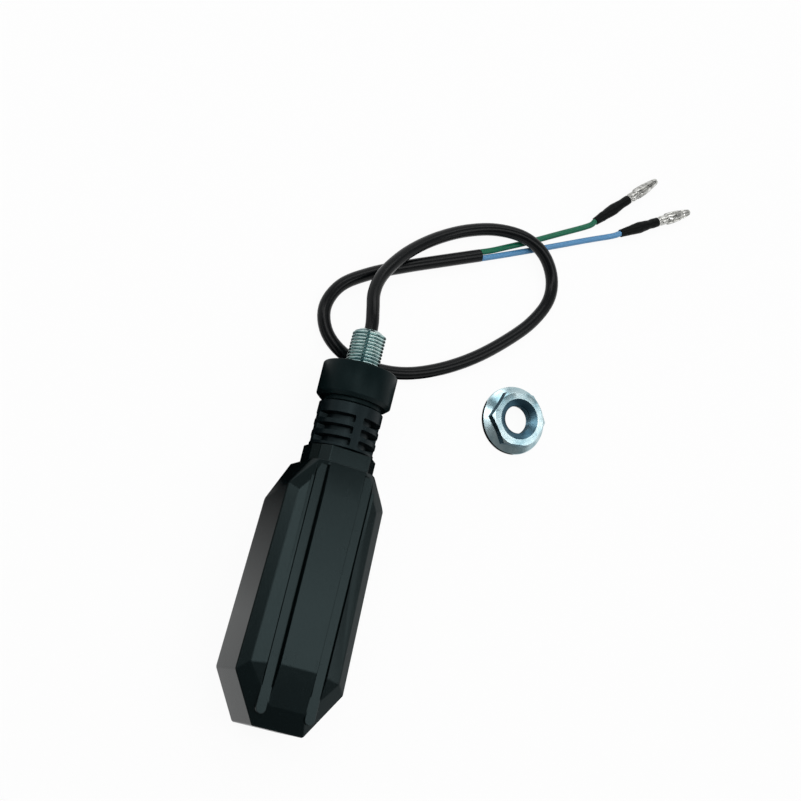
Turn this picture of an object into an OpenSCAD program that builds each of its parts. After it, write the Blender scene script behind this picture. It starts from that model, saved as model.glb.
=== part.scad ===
// Turn signal indicator on a flexible rubber stem, with its mounting nut and its cable.
// Millimetres. X across the lamp, Y along the stem (+Y leaves the mounting stud), Z up.
// The origin is on the stud's axis, in the plane of the collar's seating face.
// The lamp lies lens down, so the ribbed rear cover is on top.

/* [Lamp body] */
// Half width of the lamp at the shoulders beside the neck
shoulder_half = 14.7; // [12:0.1:20]
// Half width of the lamp at its widest, near the outer end
outer_half = 16; // [13:0.1:22]
// Half width of the flat at the outer end
end_half = 7.5; // [4:0.1:12]
// Half width of the lamp where it leaves the neck
root_half = 9.6; // [8:0.1:12]
// Distance from the seating face to where the lamp leaves the neck
root_y = 29.8; // [27:0.1:33]
// Distance from the seating face to the shoulders
shoulder_y = 38.5; // [34:0.5:45]
// Distance from the seating face to the outer corners
corner_y = 91; // [70:0.5:110]
// Distance from the seating face to the outer end
end_y = 104.5; // [80:0.5:125]
// Height of the surface the lamp lies on, below the stud's axis
rest_depth = 13; // [11:0.5:20]
// Height of the parting line between cover and shell, above the axis
parting_z = 6.2; // [3:0.1:8]
// Wall thickness of the front shell
shell_wall = 2; // [1.5:0.1:3]
// Depth of the bevel round the lens-side rim
rim_bevel = 0.8; // [0.3:0.1:1.5]
// How far the shell's shoulders lean out along the lamp at its front rim
shoulder_lean = 3.4; // [0:0.1:5]
// Width of the groove between cover and shell
parting_gap = 0.3; // [0.2:0.05:0.6]

/* [Rear cover] */
// Height of the crown's flat crest above the axis
crest_z = 10.4; // [8:0.1:14]
// Half width of the crest
crest_half = 5.3; // [4:0.1:7]
// Height of the crest's neck end
crest_root_z = 9.9; // [8:0.1:12]
// Distance from the seating face to where the crest becomes level
crest_start_y = 39.5; // [34:0.5:50]
// Distance from the seating face to the crest's outer end
crest_end_y = 87; // [60:0.5:100]
// Distance from the seating face to the brow, where the end facet gets steep
brow_y = 98.5; // [70:0.5:118]
// Height of the brow above the axis
brow_z = 8.6; // [6.6:0.1:10]
// Height of the crease between the crown's side facets
crease_z = 8.3; // [7:0.1:10]
// Distance of the crease from the lamp's edge
crease_in = 2.8; // [1:0.1:5]
// Distance of the two lengthwise channels from the middle
channel_x = 7.2; // [5:0.1:9]
// Width of each channel at the crest
channel_w = 3.9; // [2:0.1:5]
// Width of each channel at its floor
channel_floor_w = 3; // [1:0.1:4]
// Height of the channel floors above the axis
channel_floor_z = 8.9; // [7:0.1:10]
// Distance from the seating face to the rounded tips of the channel floors
tongue_tip_y = 101; // [75:0.5:120]
// Thickness of the cover
cover_wall = 1.8; // [1.2:0.1:3]
// Thickness of the cover under the channels
channel_back = 1.4; // [1:0.1:2.5]

/* [Neck] */
// Half width of the neck
neck_half = 10; // [9:0.1:12]
// Half height of the neck, a little below the crest's neck end
neck_height_half = 9.5; // [9:0.1:12]
// Half width of the neck's top and bottom flats
neck_flat_half = 6; // [4:0.1:8]
// Half height of the neck's side flats
neck_side_half = 3.4; // [3:0.1:7]
// Distance from the seating face to the neck's mouth
neck_y = 25.3; // [20:0.1:32]
// Distance from the seating face to the inner end of the neck's passage
passage_end_y = 36; // [34:0.5:40]
// Radius of the neck's bore round the stem's tail
socket_r = 7; // [5:0.1:8]
// Radius of the groove that holds the stem's end flange
flange_groove_r = 8.4; // [7:0.1:9]

/* [Rubber stem] */
// Radius of the stem
stem_r = 9.4; // [8:0.1:11]
// Radius of the passage for the cable
stem_bore_r = 2.6; // [2:0.1:4]
// Width of each slot in the stem
slot_w = 1.7; // [0.8:0.1:2.5]
// Depth of each slot
slot_depth = 2.4; // [1:0.1:4]
// Thickness of the stem's end flange, in the neck
flange_t = 3; // [1.5:0.1:4]
// Distance from the seating face to the flange's groove
flange_y = 28.1; // [27:0.1:31]
// Spacing of the slot rows
slot_pitch = 3.4; // [2.5:0.1:5]
// Distance from the seating face to the first slot row
slot_first_y = 16.2; // [12:0.1:18]
// Angle covered by each slot
slot_angle = 74; // [50:1:84]

/* [Mounting end] */
// Radius of the mounting collar
collar_r = 11; // [9:0.1:13]
// Length of the mounting collar
collar_len = 11.4; // [6:0.1:15]
// Length of the narrow step at the collar's stem end
collar_step = 1.2; // [0.5:0.1:2]
// Depth of the groove that the step forms below the stem's surface
undercut = 0.8; // [0.4:0.1:2]
// Bevel of the collar's edge at the seating face
collar_edge = 0.3; // [0.1:0.1:1]
// Bevel of the collar's edge at the stem
collar_bevel = 1; // [0.3:0.1:1.5]
// Depth of the collar's recess round the end of the thread
collar_ease = 0.6; // [0.2:0.1:1.5]
// Radius of the stud (M10)
stud_r = 5; // [4:0.5:6]
// Length of the stud in front of the collar
stud_len = 12; // [9:0.5:30]
// Radius of the stud's passage for the cable
stud_bore_r = 2.5; // [2:0.1:3.5]
// Width of the groove along the stud
stud_flat_w = 0.9; // [0.5:0.1:3]
// Depth of the groove along the stud
stud_flat_depth = 0.5; // [0.2:0.05:0.8]
// Height of the bevel at the stud's end
stud_bevel = 1.5; // [0.4:0.1:2]
// Radius of the stud's plain shank, inside the collar
stud_shank_r = 4.6; // [3.6:0.1:5]
// Distance from the seating face to the stud's head
stud_head_y = 2; // [1.5:0.1:4]
// Width across flats of the stud's head, inside the collar
stud_head_af = 14; // [12:1:17]
// Height of the stud's head
stud_head_h = 5; // [3:0.5:7]

/* [Flange nut] */
// Width across flats of the nut
nut_af = 16; // [13:1:17]
// Height of the nut
nut_h = 5.2; // [4:0.1:10]
// Radius of the nut's flange
nut_flange_r = 10.6; // [9:0.1:12]
// Thickness of the flange at its edge
nut_flange_h = 1.4; // [0.8:0.1:2]
// Height of the slope from the flange up to the flats
nut_flange_slope = 1.2; // [0.5:0.1:2]
// Height of the bevel round the nut's top
nut_bevel = 1; // [0.5:0.1:2]
// Depth of the countersinks at both ends of the hole
nut_countersink = 1.1; // [0.4:0.1:1.5]
// Width of each countersink's slope
nut_countersink_w = 2; // [0.5:0.1:2.5]
// Turn of the loose nut about its axis
nut_turn = 10; // [0:1:60]
// Radius of the nut's threaded hole (M10 x 1.25 minor radius)
nut_hole_r = 4.32; // [4:0.01:4.5]
// Position of the loose nut, across and along
nut_at = [56.8, 4.2];

/* [Lens and lamp inside] */
// Depth of the lens face inside the rim
lens_inset = 0.5; // [0.2:0.1:2]
// Thickness of the lens
lens_t = 2.2; // [1.5:0.1:3]
// Thickness of the lens seal
seal_t = 0.8; // [0.5:0.1:1.5]
// Width of the ledge the seal lies on
ledge_w = 1.6; // [1:0.1:3]
// Thickness of the ledge
ledge_t = 1.2; // [0.8:0.1:2]
// Thickness of the circuit board
board_t = 1.6; // [1:0.1:2]
// Height of the board's LED side above the axis
board_z = -2.4; // [-6:0.1:0]
// Number of LED rows along the lamp
led_rows = 6; // [3:1:8]
// Spacing of the LED rows
led_pitch = 8.2; // [6:0.1:12]
// Spacing of the two LED columns
led_column = 11; // [8:0.5:14]
// Height of an LED
led_h = 1.6; // [0.8:0.1:2]
// Width of an LED, across the lamp
led_w = 2.8; // [2:0.1:3.2]
// Length of an LED, along the lamp
led_l = 2.4; // [2:0.1:3.2]
// Width of a resistor
resistor_w = 1.6; // [1:0.1:2]
// Thickness of a resistor
resistor_t = 0.6; // [0.4:0.1:1]
// Radius of a board screw
screw_r = 1.3; // [1:0.1:1.6]
// Length of a board screw's shank
screw_len = 7; // [5:0.5:8]
// Radius of a board screw's head
screw_head_r = 2.3; // [1.8:0.1:3]
// Height of a board screw's head
screw_head_h = 1.6; // [1:0.1:2]
// Radius of the bosses that take the board screws
boss_r = 2.8; // [2:0.1:4]
// Distance from the seating face to the board's neck end
board_start_y = 40; // [38:0.5:44]
// Mouth radius of a reflector cup
cup_r = 3.7; // [3:0.1:4]
// Throat radius of a reflector cup, round the LED
cup_throat_r = 2.1; // [2:0.1:3]
// Wall of a reflector cup
cup_wall = 0.9; // [0.6:0.1:1.5]
// Thickness of the reflector's plate
plate_t = 1.2; // [0.8:0.1:2]

/* [Cable and terminals] */
// Thickness of the grommet in the neck
grommet_t = 3.4; // [2:0.1:5]
// Radius of the grommet's hole
grommet_hole_r = 2.2; // [1.8:0.1:3]
// Diameter of the cable
cable_d = 4; // [3:0.1:6]
// Diameter of each wire
wire_d = 1.9; // [1.2:0.1:2.5]
// Diameter of the heat-shrink sleeves
shrink_d = 3.4; // [2.5:0.1:5]
// Diameter of the bullet terminals
bullet_d = 3.9; // [3.5:0.1:5]

/* [Hidden] */

eps = 0.02;             // overlap of a cut with the face it opens
fit_gap = 0.1;          // clearance between moulded pieces
joint_gap = 0.3;        // clearance between the stem and the hard parts at its ends
floor_z = -rest_depth;
rim_top = parting_z - parting_gap;
ledge_z = floor_z + lens_inset + lens_t + seal_t;
board_top = board_z + board_t;
inner_gap = 0.4;        // clearance of the reflector and the board inside the shell
head_gap = 0.2;         // clearance round a screw and its head
thread_gap = 0.03;      // clearance of a screw in its boss
moulded_gap = 0.01;     // clearance round what is moulded in
led_y0 = -board_start_y - 7.5;  // first LED row
boss_ys = [led_y0 - led_pitch / 2, led_y0 - (led_rows - 1.5) * led_pitch];
stem_end_y = neck_y - joint_gap;
tail_end_y = neck_y + 7;
grommet_y = tail_end_y + 0.3;

// Outline of the lamp seen from above, moved in by d, its shoulders moved out along the lamp by lean.
module plan(d = 0, lean = 0) {
    polygon([
        [-end_half + 0.4 * d, -end_y + d], [end_half - 0.4 * d, -end_y + d],
        [outer_half - d, -corner_y + 0.6 * d], [shoulder_half - d, -shoulder_y - lean - 0.4 * d],
        [root_half - 0.8 * d, -root_y - d], [-root_half + 0.8 * d, -root_y - d],
        [-shoulder_half + d, -shoulder_y - lean - 0.4 * d], [-outer_half + d, -corner_y + 0.6 * d]
    ]);
}

module slab(z0, z1, d = 0, lean = 0) {
    translate([0, 0, z0]) linear_extrude(height = z1 - z0) plan(d, lean);
}

// Everything beyond y0 towards the lamp's outer end.
module beyond_y(y0) {
    translate([-outer_half - 5, -end_y - 5, -rest_depth - 5])
        cube([2 * outer_half + 10, end_y - y0 + 5, rest_depth + crest_z + 10]);
}

// Everything above z0.
module above_z(z0) {
    translate([-outer_half - 5, -end_y - 5, z0]) cube([2 * outer_half + 10, end_y + 5, crest_z + 10 - z0]);
}

// A cylinder along Y from y0 towards the lamp, y0 + len away.
module along(y0, len, r, rb = -1, sides = 96) {
    translate([0, -y0, 0]) rotate([90, 0, 0])
        cylinder(h = len, r1 = r, r2 = rb < 0 ? r : rb, $fn = sides);
}

// The eight-sided neck, from its mouth into the lamp.
module neck_block(grow = 0) {
    wide = neck_half + grow;
    high = neck_height_half + grow;
    translate([0, -neck_y, 0]) rotate([90, 0, 0])
        linear_extrude(height = passage_end_y - neck_y)
            polygon([
                [-neck_flat_half, -high], [neck_flat_half, -high],
                [wide, -neck_side_half], [wide, neck_side_half],
                [neck_flat_half, high], [-neck_flat_half, high],
                [-wide, neck_side_half], [-wide, -neck_side_half]
            ]);
}

// The passage through the neck: a bore, and a groove for the stem's end flange.
module neck_passage() {
    along(neck_y - 1, passage_end_y - neck_y + 2, socket_r);
    along(flange_y, flange_t + 2 * fit_gap, flange_groove_r);
}

// Outer form of the crown: crest, two facets a side and two facets at the outer end.
module crown(d = 0) {
    step = 0.02;
    hull() {
        translate([0, 0, parting_z - step]) linear_extrude(height = step) plan(d);
        translate([0, 0, crease_z - d - step]) linear_extrude(height = step)
            polygon([
                [outer_half - crease_in - d, -corner_y + crease_in],
                [shoulder_half - crease_in - d, -shoulder_y - crease_in / 2],
                [root_half - crease_in / 2 - d, -root_y - d], [-root_half + crease_in / 2 + d, -root_y - d],
                [-shoulder_half + crease_in + d, -shoulder_y - crease_in / 2],
                [-outer_half + crease_in + d, -corner_y + crease_in]
            ]);
        translate([0, 0, brow_z - d - step]) linear_extrude(height = step)
            polygon([
                [-crest_half + d, -brow_y + d], [crest_half - d, -brow_y + d],
                [channel_x + channel_w / 2 - d, -crest_end_y], [-channel_x - channel_w / 2 + d, -crest_end_y]
            ]);
        translate([0, 0, crest_root_z - d - step]) linear_extrude(height = step)
            polygon([
                [-crest_half + d, -root_y - d], [crest_half - d, -root_y - d],
                [crest_half - d, -root_y - d - 1], [-crest_half + d, -root_y - d - 1]
            ]);
        translate([0, 0, crest_z - d - step]) linear_extrude(height = step)
            polygon([
                [-crest_half + d, -crest_end_y], [crest_half - d, -crest_end_y],
                [crest_half - d, -crest_start_y], [-crest_half + d, -crest_start_y]
            ]);
    }
}

// The cut that forms one channel, over a level floor.
module channel(side) {
    translate([side * channel_x, -root_y - 1.2, 0]) rotate([90, 0, 0])
        linear_extrude(height = end_y)
            polygon([
                [-channel_floor_w / 2, channel_floor_z], [channel_floor_w / 2, channel_floor_z],
                [channel_w / 2, crest_z], [channel_w / 2, crest_z + 3],
                [-channel_w / 2, crest_z + 3], [-channel_w / 2, crest_z]
            ]);
}

// The channel's floor goes on level where the end facets fall away, and ends in a round tip.
module channel_tongue(side) {
    tip_r = channel_floor_w / 2;
    translate([side * channel_x, 0, parting_z]) linear_extrude(height = channel_floor_z - parting_z) {
        translate([-tip_r, -tongue_tip_y + tip_r]) square([2 * tip_r, tongue_tip_y - crest_end_y]);
        translate([0, -tongue_tip_y + tip_r]) circle(r = tip_r, $fn = 48);
    }
}

module rear_cover() {
    color([0.09, 0.11, 0.11]) difference() {
        union() {
            difference() {
                union() {
                    crown();
                    intersection() {
                        neck_block();
                        above_z(parting_z);
                    }
                    for (side = [-1, 1]) {
                        channel_tongue(side);
                    }
                }
                intersection() {
                    crown(cover_wall);
                    beyond_y(passage_end_y);
                }
            }
            for (side = [-1, 1]) {
                intersection() {
                    translate([side * channel_x - channel_w / 2 - 0.5, -tongue_tip_y, channel_floor_z - channel_back])
                        cube([channel_w + 1, tongue_tip_y - passage_end_y, channel_back + 0.4]);
                    crown();
                }
            }
            for (y = boss_ys) {
                translate([0, y, board_top + fit_gap])
                    cylinder(h = crest_z - cover_wall / 2 - board_top - fit_gap, r = boss_r, $fn = 48);
            }
        }
        channel(-1);
        channel(1);
        neck_passage();
        for (y = boss_ys) {
            translate([0, y, board_top - 1]) cylinder(h = screw_len, r = screw_r + thread_gap, $fn = 48);
        }
    }
}

module front_shell() {
    color([0.05, 0.055, 0.06]) difference() {
        union() {
            hull() {
                slab(floor_z + rim_bevel, floor_z + rim_bevel + 0.1, 0, shoulder_lean);
                slab(rim_top - 0.1, rim_top);
            }
            hull() {
                slab(floor_z, floor_z + 0.1, rim_bevel, shoulder_lean);
                slab(floor_z + rim_bevel, floor_z + rim_bevel + 0.1, 0, shoulder_lean);
            }
            difference() {
                neck_block();
                above_z(rim_top);
            }
        }
        slab(floor_z - 1, ledge_z, shell_wall);
        slab(ledge_z - 1, ledge_z + ledge_t + 1, shell_wall + ledge_w);
        intersection() {
            slab(ledge_z + ledge_t, rim_top + 1, shell_wall);
            beyond_y(passage_end_y);
        }
        neck_passage();
    }
}

module lens() {
    color([0.10, 0.09, 0.09, 0.75])
        slab(floor_z + lens_inset, floor_z + lens_inset + lens_t, shell_wall + fit_gap);
}

module lens_seal() {
    color([0.03, 0.03, 0.03]) difference() {
        slab(ledge_z - seal_t, ledge_z, shell_wall + fit_gap);
        slab(ledge_z - seal_t - 1, ledge_z + 1, shell_wall + ledge_w);
    }
}

// Cones at every LED, from the lens side (r_lens) to the board side (r_board).
module cup_cones(z0, z1, r_lens, r_board) {
    for (i = [0:led_rows - 1]) {
        for (side = [-1, 1]) {
            translate([side * led_column / 2, led_y0 - i * led_pitch, z0])
                cylinder(h = z1 - z0, r1 = r_lens, r2 = r_board, $fn = 48);
        }
    }
}

module reflector() {
    top = board_z - fit_gap;
    bottom = ledge_z + ledge_t + fit_gap;
    color([0.78, 0.79, 0.8]) difference() {
        union() {
            intersection() {
                slab(top - plate_t, top, shell_wall + inner_gap);
                beyond_y(board_start_y - inner_gap);
            }
            cup_cones(bottom, top, cup_r + cup_wall, cup_throat_r + cup_wall);
        }
        cup_cones(bottom - eps, top + eps, cup_r, cup_throat_r);
        for (y = boss_ys) {
            translate([0, y, bottom - 1])
                cylinder(h = top - bottom + 2, r = screw_head_r + head_gap, $fn = 48);
        }
    }
}

module led_board() {
    color([0.08, 0.28, 0.16]) difference() {
        intersection() {
            slab(board_z, board_top, shell_wall + 2 * inner_gap);
            beyond_y(board_start_y);
        }
        for (y = boss_ys) {
            translate([0, y, board_z - 1]) cylinder(h = board_t + 2, r = screw_r + head_gap, $fn = 48);
        }
    }
}

module leds() {
    color([0.95, 0.75, 0.35])
        for (i = [0:led_rows - 1]) {
            for (side = [-1, 1]) {
                translate([side * led_column / 2, led_y0 - i * led_pitch, board_z - led_h / 2])
                    cube([led_w, led_l, led_h], center = true);
            }
        }
}

module resistors() {
    color([0.12, 0.12, 0.12])
        for (i = [0:3]) {
            translate([led_column / 2 + (i % 2) * 3, led_y0 - (i + 1) * led_pitch, board_top + resistor_t / 2])
                cube([resistor_w, 2 * resistor_w, resistor_t], center = true);
        }
}

module board_screws() {
    color([0.7, 0.7, 0.72])
        for (y = boss_ys) {
            translate([0, y, board_z - screw_head_h]) cylinder(h = screw_head_h, r = screw_head_r, $fn = 48);
            translate([0, y, board_z - 0.5]) cylinder(h = screw_len, r = screw_r, $fn = 48);
        }
}

module cable_grommet() {
    color([0.05, 0.05, 0.05]) difference() {
        along(grommet_y, grommet_t, socket_r - fit_gap);
        along(grommet_y - 1, grommet_t + 2, grommet_hole_r);
    }
}

module board_leads() {
    points_left = [[-0.95, -32.6, 0], [-1, -38, 0], [-3, -43, 0.2], [-6, -48, 0.2], [-7, -52, -0.15]];
    points_right = [[0.95, -32.6, 0], [1, -38, 0], [3, -42, 0.2], [6, -46, 0.2], [7, -50, -0.15]];
    color([0.1, 0.45, 0.3]) tube(points_left, 0.85, 8);
    color([0.2, 0.4, 0.7]) tube(points_right, 0.85, 8);
}

// One slot: a band of the stem's circumference, slot_depth deep.
module stem_slot(y, angle) {
    translate([0, -y, 0]) rotate([90, 0, 0]) rotate([0, 0, angle - slot_angle / 2])
        translate([0, 0, -slot_w / 2]) rotate_extrude(angle = slot_angle, $fn = 96)
            translate([stem_r - slot_depth, 0]) square([slot_depth + 1, slot_w]);
}

module flex_stem() {
    color([0.06, 0.065, 0.07]) difference() {
        union() {
            along(collar_len + joint_gap, stem_end_y - collar_len - joint_gap, stem_r);
            along(stem_end_y - 1, tail_end_y - stem_end_y + 1, socket_r - fit_gap);
            along(flange_y + fit_gap, flange_t, flange_groove_r - fit_gap);
        }
        along(collar_len - 1, tail_end_y - collar_len + 2, stem_bore_r);
        for (row = [0:2]) {
            for (quarter = [0:3]) {
                stem_slot(slot_first_y + row * slot_pitch, quarter * 90 + 45);
            }
        }
    }
}

module stem_lead() {
    color([0.05, 0.05, 0.05]) along(collar_len + joint_gap, tail_end_y - collar_len - joint_gap, cable_d / 2);
}

module mounting_collar() {
    color([0.07, 0.075, 0.08]) difference() {
        union() {
            along(0, collar_edge, collar_r - collar_edge, collar_r);
            along(collar_edge, collar_len - collar_step - collar_edge - collar_bevel, collar_r);
            along(collar_len - collar_step - collar_bevel, collar_bevel, collar_r, collar_r - collar_bevel);
            along(collar_len - collar_step - eps, collar_step + eps, stem_r - undercut);
        }
        along(-1, collar_len + 2, stud_shank_r + moulded_gap);
        along(-1, 1 + collar_ease, stud_r + fit_gap);
        translate([0, -stud_head_y + moulded_gap, 0]) rotate([90, 0, 0])
            cylinder(h = stud_head_h + 2 * moulded_gap, d = (stud_head_af + 2 * moulded_gap) / cos(30), $fn = 6);
    }
}

module threaded_stud() {
    color([0.72, 0.75, 0.78]) difference() {
        union() {
            along(-stud_len, stud_bevel, stud_r - stud_bevel, stud_r);
            along(-stud_len + stud_bevel, stud_len - stud_bevel, stud_r);
            along(-1, 1 + collar_len - collar_step, stud_shank_r);
            translate([0, -stud_head_y, 0]) rotate([90, 0, 0])
                cylinder(h = stud_head_h, d = stud_head_af / cos(30), $fn = 6);
        }
        along(-stud_len - 1, stud_len + collar_len + 3, stud_bore_r);
        translate([-stud_flat_w / 2, -1, stud_r - stud_flat_depth]) cube([stud_flat_w, stud_len + 2, 2]);
    }
}

module flange_nut() {
    corner_r = nut_af / 2 / cos(30);
    color([0.72, 0.76, 0.8]) translate([nut_at[0], nut_at[1], floor_z]) difference() {
        union() {
            cylinder(h = nut_flange_h, r = nut_flange_r, $fn = 96);
            translate([0, 0, nut_flange_h])
                cylinder(h = nut_flange_slope, r1 = nut_flange_r, r2 = nut_af / 2, $fn = 96);
            intersection() {
                rotate([0, 0, nut_turn]) cylinder(h = nut_h, r = corner_r, $fn = 6);
                union() {
                    cylinder(h = nut_h - nut_bevel, r = corner_r + 1, $fn = 96);
                    translate([0, 0, nut_h - nut_bevel])
                        cylinder(h = nut_bevel, r1 = corner_r + 0.2, r2 = nut_af / 2 - 0.4, $fn = 96);
                }
            }
        }
        translate([0, 0, -1]) cylinder(h = nut_h + 2, r = nut_hole_r, $fn = 96);
        translate([0, 0, -eps])
            cylinder(h = nut_countersink, r1 = nut_hole_r + nut_countersink_w, r2 = nut_hole_r, $fn = 96);
        translate([0, 0, nut_h - nut_countersink])
            cylinder(h = nut_countersink + eps, r1 = nut_hole_r, r2 = nut_hole_r + nut_countersink_w, $fn = 96);
    }
}

// A tube of radius r swept along points that never run straight up or down.
function unit(v) = v / norm(v);
function heading(p, i) =
    i == 0 ? unit(p[1] - p[0]) :
    i == len(p) - 1 ? unit(p[i] - p[i - 1]) :
    unit(unit(p[i] - p[i - 1]) + unit(p[i + 1] - p[i]));
function ring(p, i, r, sides) =
    let (
        t = heading(p, i),
        side = unit(cross(t, [0, 0, 1])),
        up = cross(side, t)
    )
    [for (k = [0:sides - 1]) p[i] + r * (cos(360 * (k + 0.5) / sides) * side + sin(360 * (k + 0.5) / sides) * up)];
// Points along a smooth curve through p, n to each stretch.
function between(a, b, c, d, t) =
    0.5 * ((2 * b) + (c - a) * t + (2 * a - 5 * b + 4 * c - d) * t * t + (3 * b - a - 3 * c + d) * t * t * t);
function smooth(p, n) = concat(
    [for (i = [0:len(p) - 2]) for (j = [0:n - 1])
        between(p[max(i - 1, 0)], p[i], p[i + 1], p[min(i + 2, len(p) - 1)], j / n)],
    [p[len(p) - 1]]
);
module tube(p, r, sides) {
    last = len(p) - 1;
    verts = [for (i = [0:last]) each ring(p, i, r, sides)];
    sides_faces = [for (i = [0:last - 1]) for (k = [0:sides - 1])
        [i * sides + k, i * sides + (k + 1) % sides, (i + 1) * sides + (k + 1) % sides, (i + 1) * sides + k]];
    polyhedron(
        points = verts,
        faces = concat(
            [[for (k = [sides - 1:-1:0]) k]], sides_faces, [[for (k = [0:sides - 1]) last * sides + k]]
        )
    );
}

low = floor_z + cable_d / 2;       // axis of the cable where it lies on the surface
wire_low = floor_z + wire_d / 2;   // axis of a wire where it lies on the surface
bullet_low = floor_z + bullet_d / 2;
green_end = [69.3, 76];            // start of the green wire's heat-shrink
green_angle = 49;
blue_end = [79.1, 75.4];           // start of the blue wire's heat-shrink
blue_angle = 35;
shrink_len = 15.5;
bullet_body = 11;
function beyond(at, angle, s, z) = [at[0] + s * cos(angle), at[1] + s * sin(angle), z];
cable_route = [
    [0, -11.3, 0], [0, 2, 0], [0, 13, 0], [-0.6, 19, -1], [-0.9, 24.5, -2.8], [0.6, 30.4, -4.8],
    [4.2, 36.8, -6.4], [9.8, 43.8, -8.6], [17.6, 50.9, -10.4], [26.6, 56.8, low], [36, 60.4, low + 0.8],
    [45.2, 60.8, low + 2.3], [53, 58, low + 1.9], [58.4, 52.2, low + 0.2], [59, 44.6, low], [54.9, 35.9, low],
    [47.8, 27.4, low], [38.8, 18.9, low], [28.8, 11.9, low], [18.2, 6.9, low], [8, 5, low],
    [-2, 6, low], [-9.2, 10.6, low], [-11.9, 17.9, low], [-8.8, 25.9, low], [-0.7, 32.6, low],
    [9.6, 38.6, low], [20.4, 44.3, low], [32.7, 50.7, low]
];
green_route = [
    [30.5, 50.7, low], [36, 53.6, low - 0.4], [41, 56.7, wire_low], [48.6, 61.4, wire_low],
    [58, 67.6, wire_low], beyond(green_end, green_angle, -3, wire_low + 0.6),
    beyond(green_end, green_angle, 0, bullet_low), beyond(green_end, green_angle, 4.2, bullet_low)
];
blue_route = [
    [31.4, 48.9, low], [37, 51.9, low - 0.4], [42.6, 55, wire_low], [51, 59.6, wire_low],
    [60.5, 64.9, wire_low], [69.3, 69.8, wire_low], beyond(blue_end, blue_angle, -3, wire_low + 0.6),
    beyond(blue_end, blue_angle, 0, bullet_low), beyond(blue_end, blue_angle, 4.2, bullet_low)
];

module cable() {
    color([0.04, 0.04, 0.045]) tube(smooth(cable_route, 2), cable_d / 2, 12);
}

module wire_green() {
    color([0.08, 0.42, 0.3]) tube(green_route, wire_d / 2, 8);
}

module wire_blue() {
    color([0.25, 0.48, 0.72]) tube(blue_route, wire_d / 2, 8);
}

// Heat-shrink and bullet terminal, lying from a along direction angle.

module lying(at, angle, z) {
    translate([at[0], at[1], z]) rotate([0, 0, angle]) rotate([0, 90, 0]) children();
}

module heat_shrink(at, angle) {
    color([0.03, 0.03, 0.03]) lying(at, angle, bullet_low) difference() {
        union() {
            cylinder(h = 4, r1 = wire_d / 2 + 0.4, r2 = shrink_d / 2, $fn = 32);
            translate([0, 0, 4]) cylinder(h = shrink_len - 4, r = shrink_d / 2, $fn = 32);
        }
        translate([0, 0, -1]) cylinder(h = 6, r = wire_d / 2 + 0.02, $fn = 32);
        translate([0, 0, 4.5]) cylinder(h = shrink_len, r = 1.32, $fn = 32);
    }
}

module bullet(at, angle) {
    color([0.75, 0.77, 0.8]) lying(at, angle, bullet_low) {
        translate([0, 0, 4.6]) cylinder(h = shrink_len - 4, r = 1.3, $fn = 32);
        translate([0, 0, shrink_len + 0.02]) cylinder(h = bullet_body, r = bullet_d / 2, $fn = 48);
        translate([0, 0, shrink_len + bullet_body]) cylinder(h = 1, r = 1.5, $fn = 48);
        translate([0, 0, shrink_len + bullet_body + 0.6]) sphere(r = 1.9, $fn = 48);
    }
}

module heat_shrink_green() {
    heat_shrink(green_end, green_angle);
}

module heat_shrink_blue() {
    heat_shrink(blue_end, blue_angle);
}

module bullet_green() {
    bullet(green_end, green_angle);
}

module bullet_blue() {
    bullet(blue_end, blue_angle);
}

rear_cover();
front_shell();
lens();
lens_seal();
reflector();
led_board();
leds();
resistors();
board_screws();
cable_grommet();
board_leads();
flex_stem();
stem_lead();
mounting_collar();
threaded_stud();
flange_nut();
cable();
wire_green();
wire_blue();
heat_shrink_green();
heat_shrink_blue();
bullet_green();
bullet_blue();
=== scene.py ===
import math
import bpy
import bmesh
from mathutils import Matrix, Vector


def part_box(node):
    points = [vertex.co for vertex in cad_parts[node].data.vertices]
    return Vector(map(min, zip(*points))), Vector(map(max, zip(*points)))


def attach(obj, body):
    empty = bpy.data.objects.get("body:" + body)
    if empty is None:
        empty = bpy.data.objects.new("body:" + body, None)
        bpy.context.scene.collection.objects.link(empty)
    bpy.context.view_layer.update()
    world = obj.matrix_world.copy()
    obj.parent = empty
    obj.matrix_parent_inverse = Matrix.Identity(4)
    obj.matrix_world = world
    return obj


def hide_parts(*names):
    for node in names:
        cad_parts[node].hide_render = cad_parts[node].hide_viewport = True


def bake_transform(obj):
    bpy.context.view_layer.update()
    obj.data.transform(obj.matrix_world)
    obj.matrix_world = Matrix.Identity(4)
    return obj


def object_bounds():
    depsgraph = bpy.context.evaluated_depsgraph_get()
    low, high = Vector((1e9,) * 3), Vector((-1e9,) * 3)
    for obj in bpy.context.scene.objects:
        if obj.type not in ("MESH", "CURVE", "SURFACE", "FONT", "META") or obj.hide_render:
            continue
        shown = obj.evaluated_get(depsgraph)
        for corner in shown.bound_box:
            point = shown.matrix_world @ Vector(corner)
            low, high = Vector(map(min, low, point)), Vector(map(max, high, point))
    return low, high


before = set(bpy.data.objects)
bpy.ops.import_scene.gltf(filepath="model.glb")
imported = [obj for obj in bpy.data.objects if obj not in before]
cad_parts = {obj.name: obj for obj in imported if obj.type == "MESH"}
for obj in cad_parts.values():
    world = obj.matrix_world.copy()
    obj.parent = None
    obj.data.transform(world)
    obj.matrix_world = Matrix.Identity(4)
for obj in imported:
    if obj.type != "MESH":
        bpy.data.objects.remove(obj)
cad_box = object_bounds()
MM = 0.001

# ---- sizes, in millimetres
def box_mm(node):
    """A node's lowest and highest corners."""
    return [[v / MM for v in corner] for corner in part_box(node)]


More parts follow.
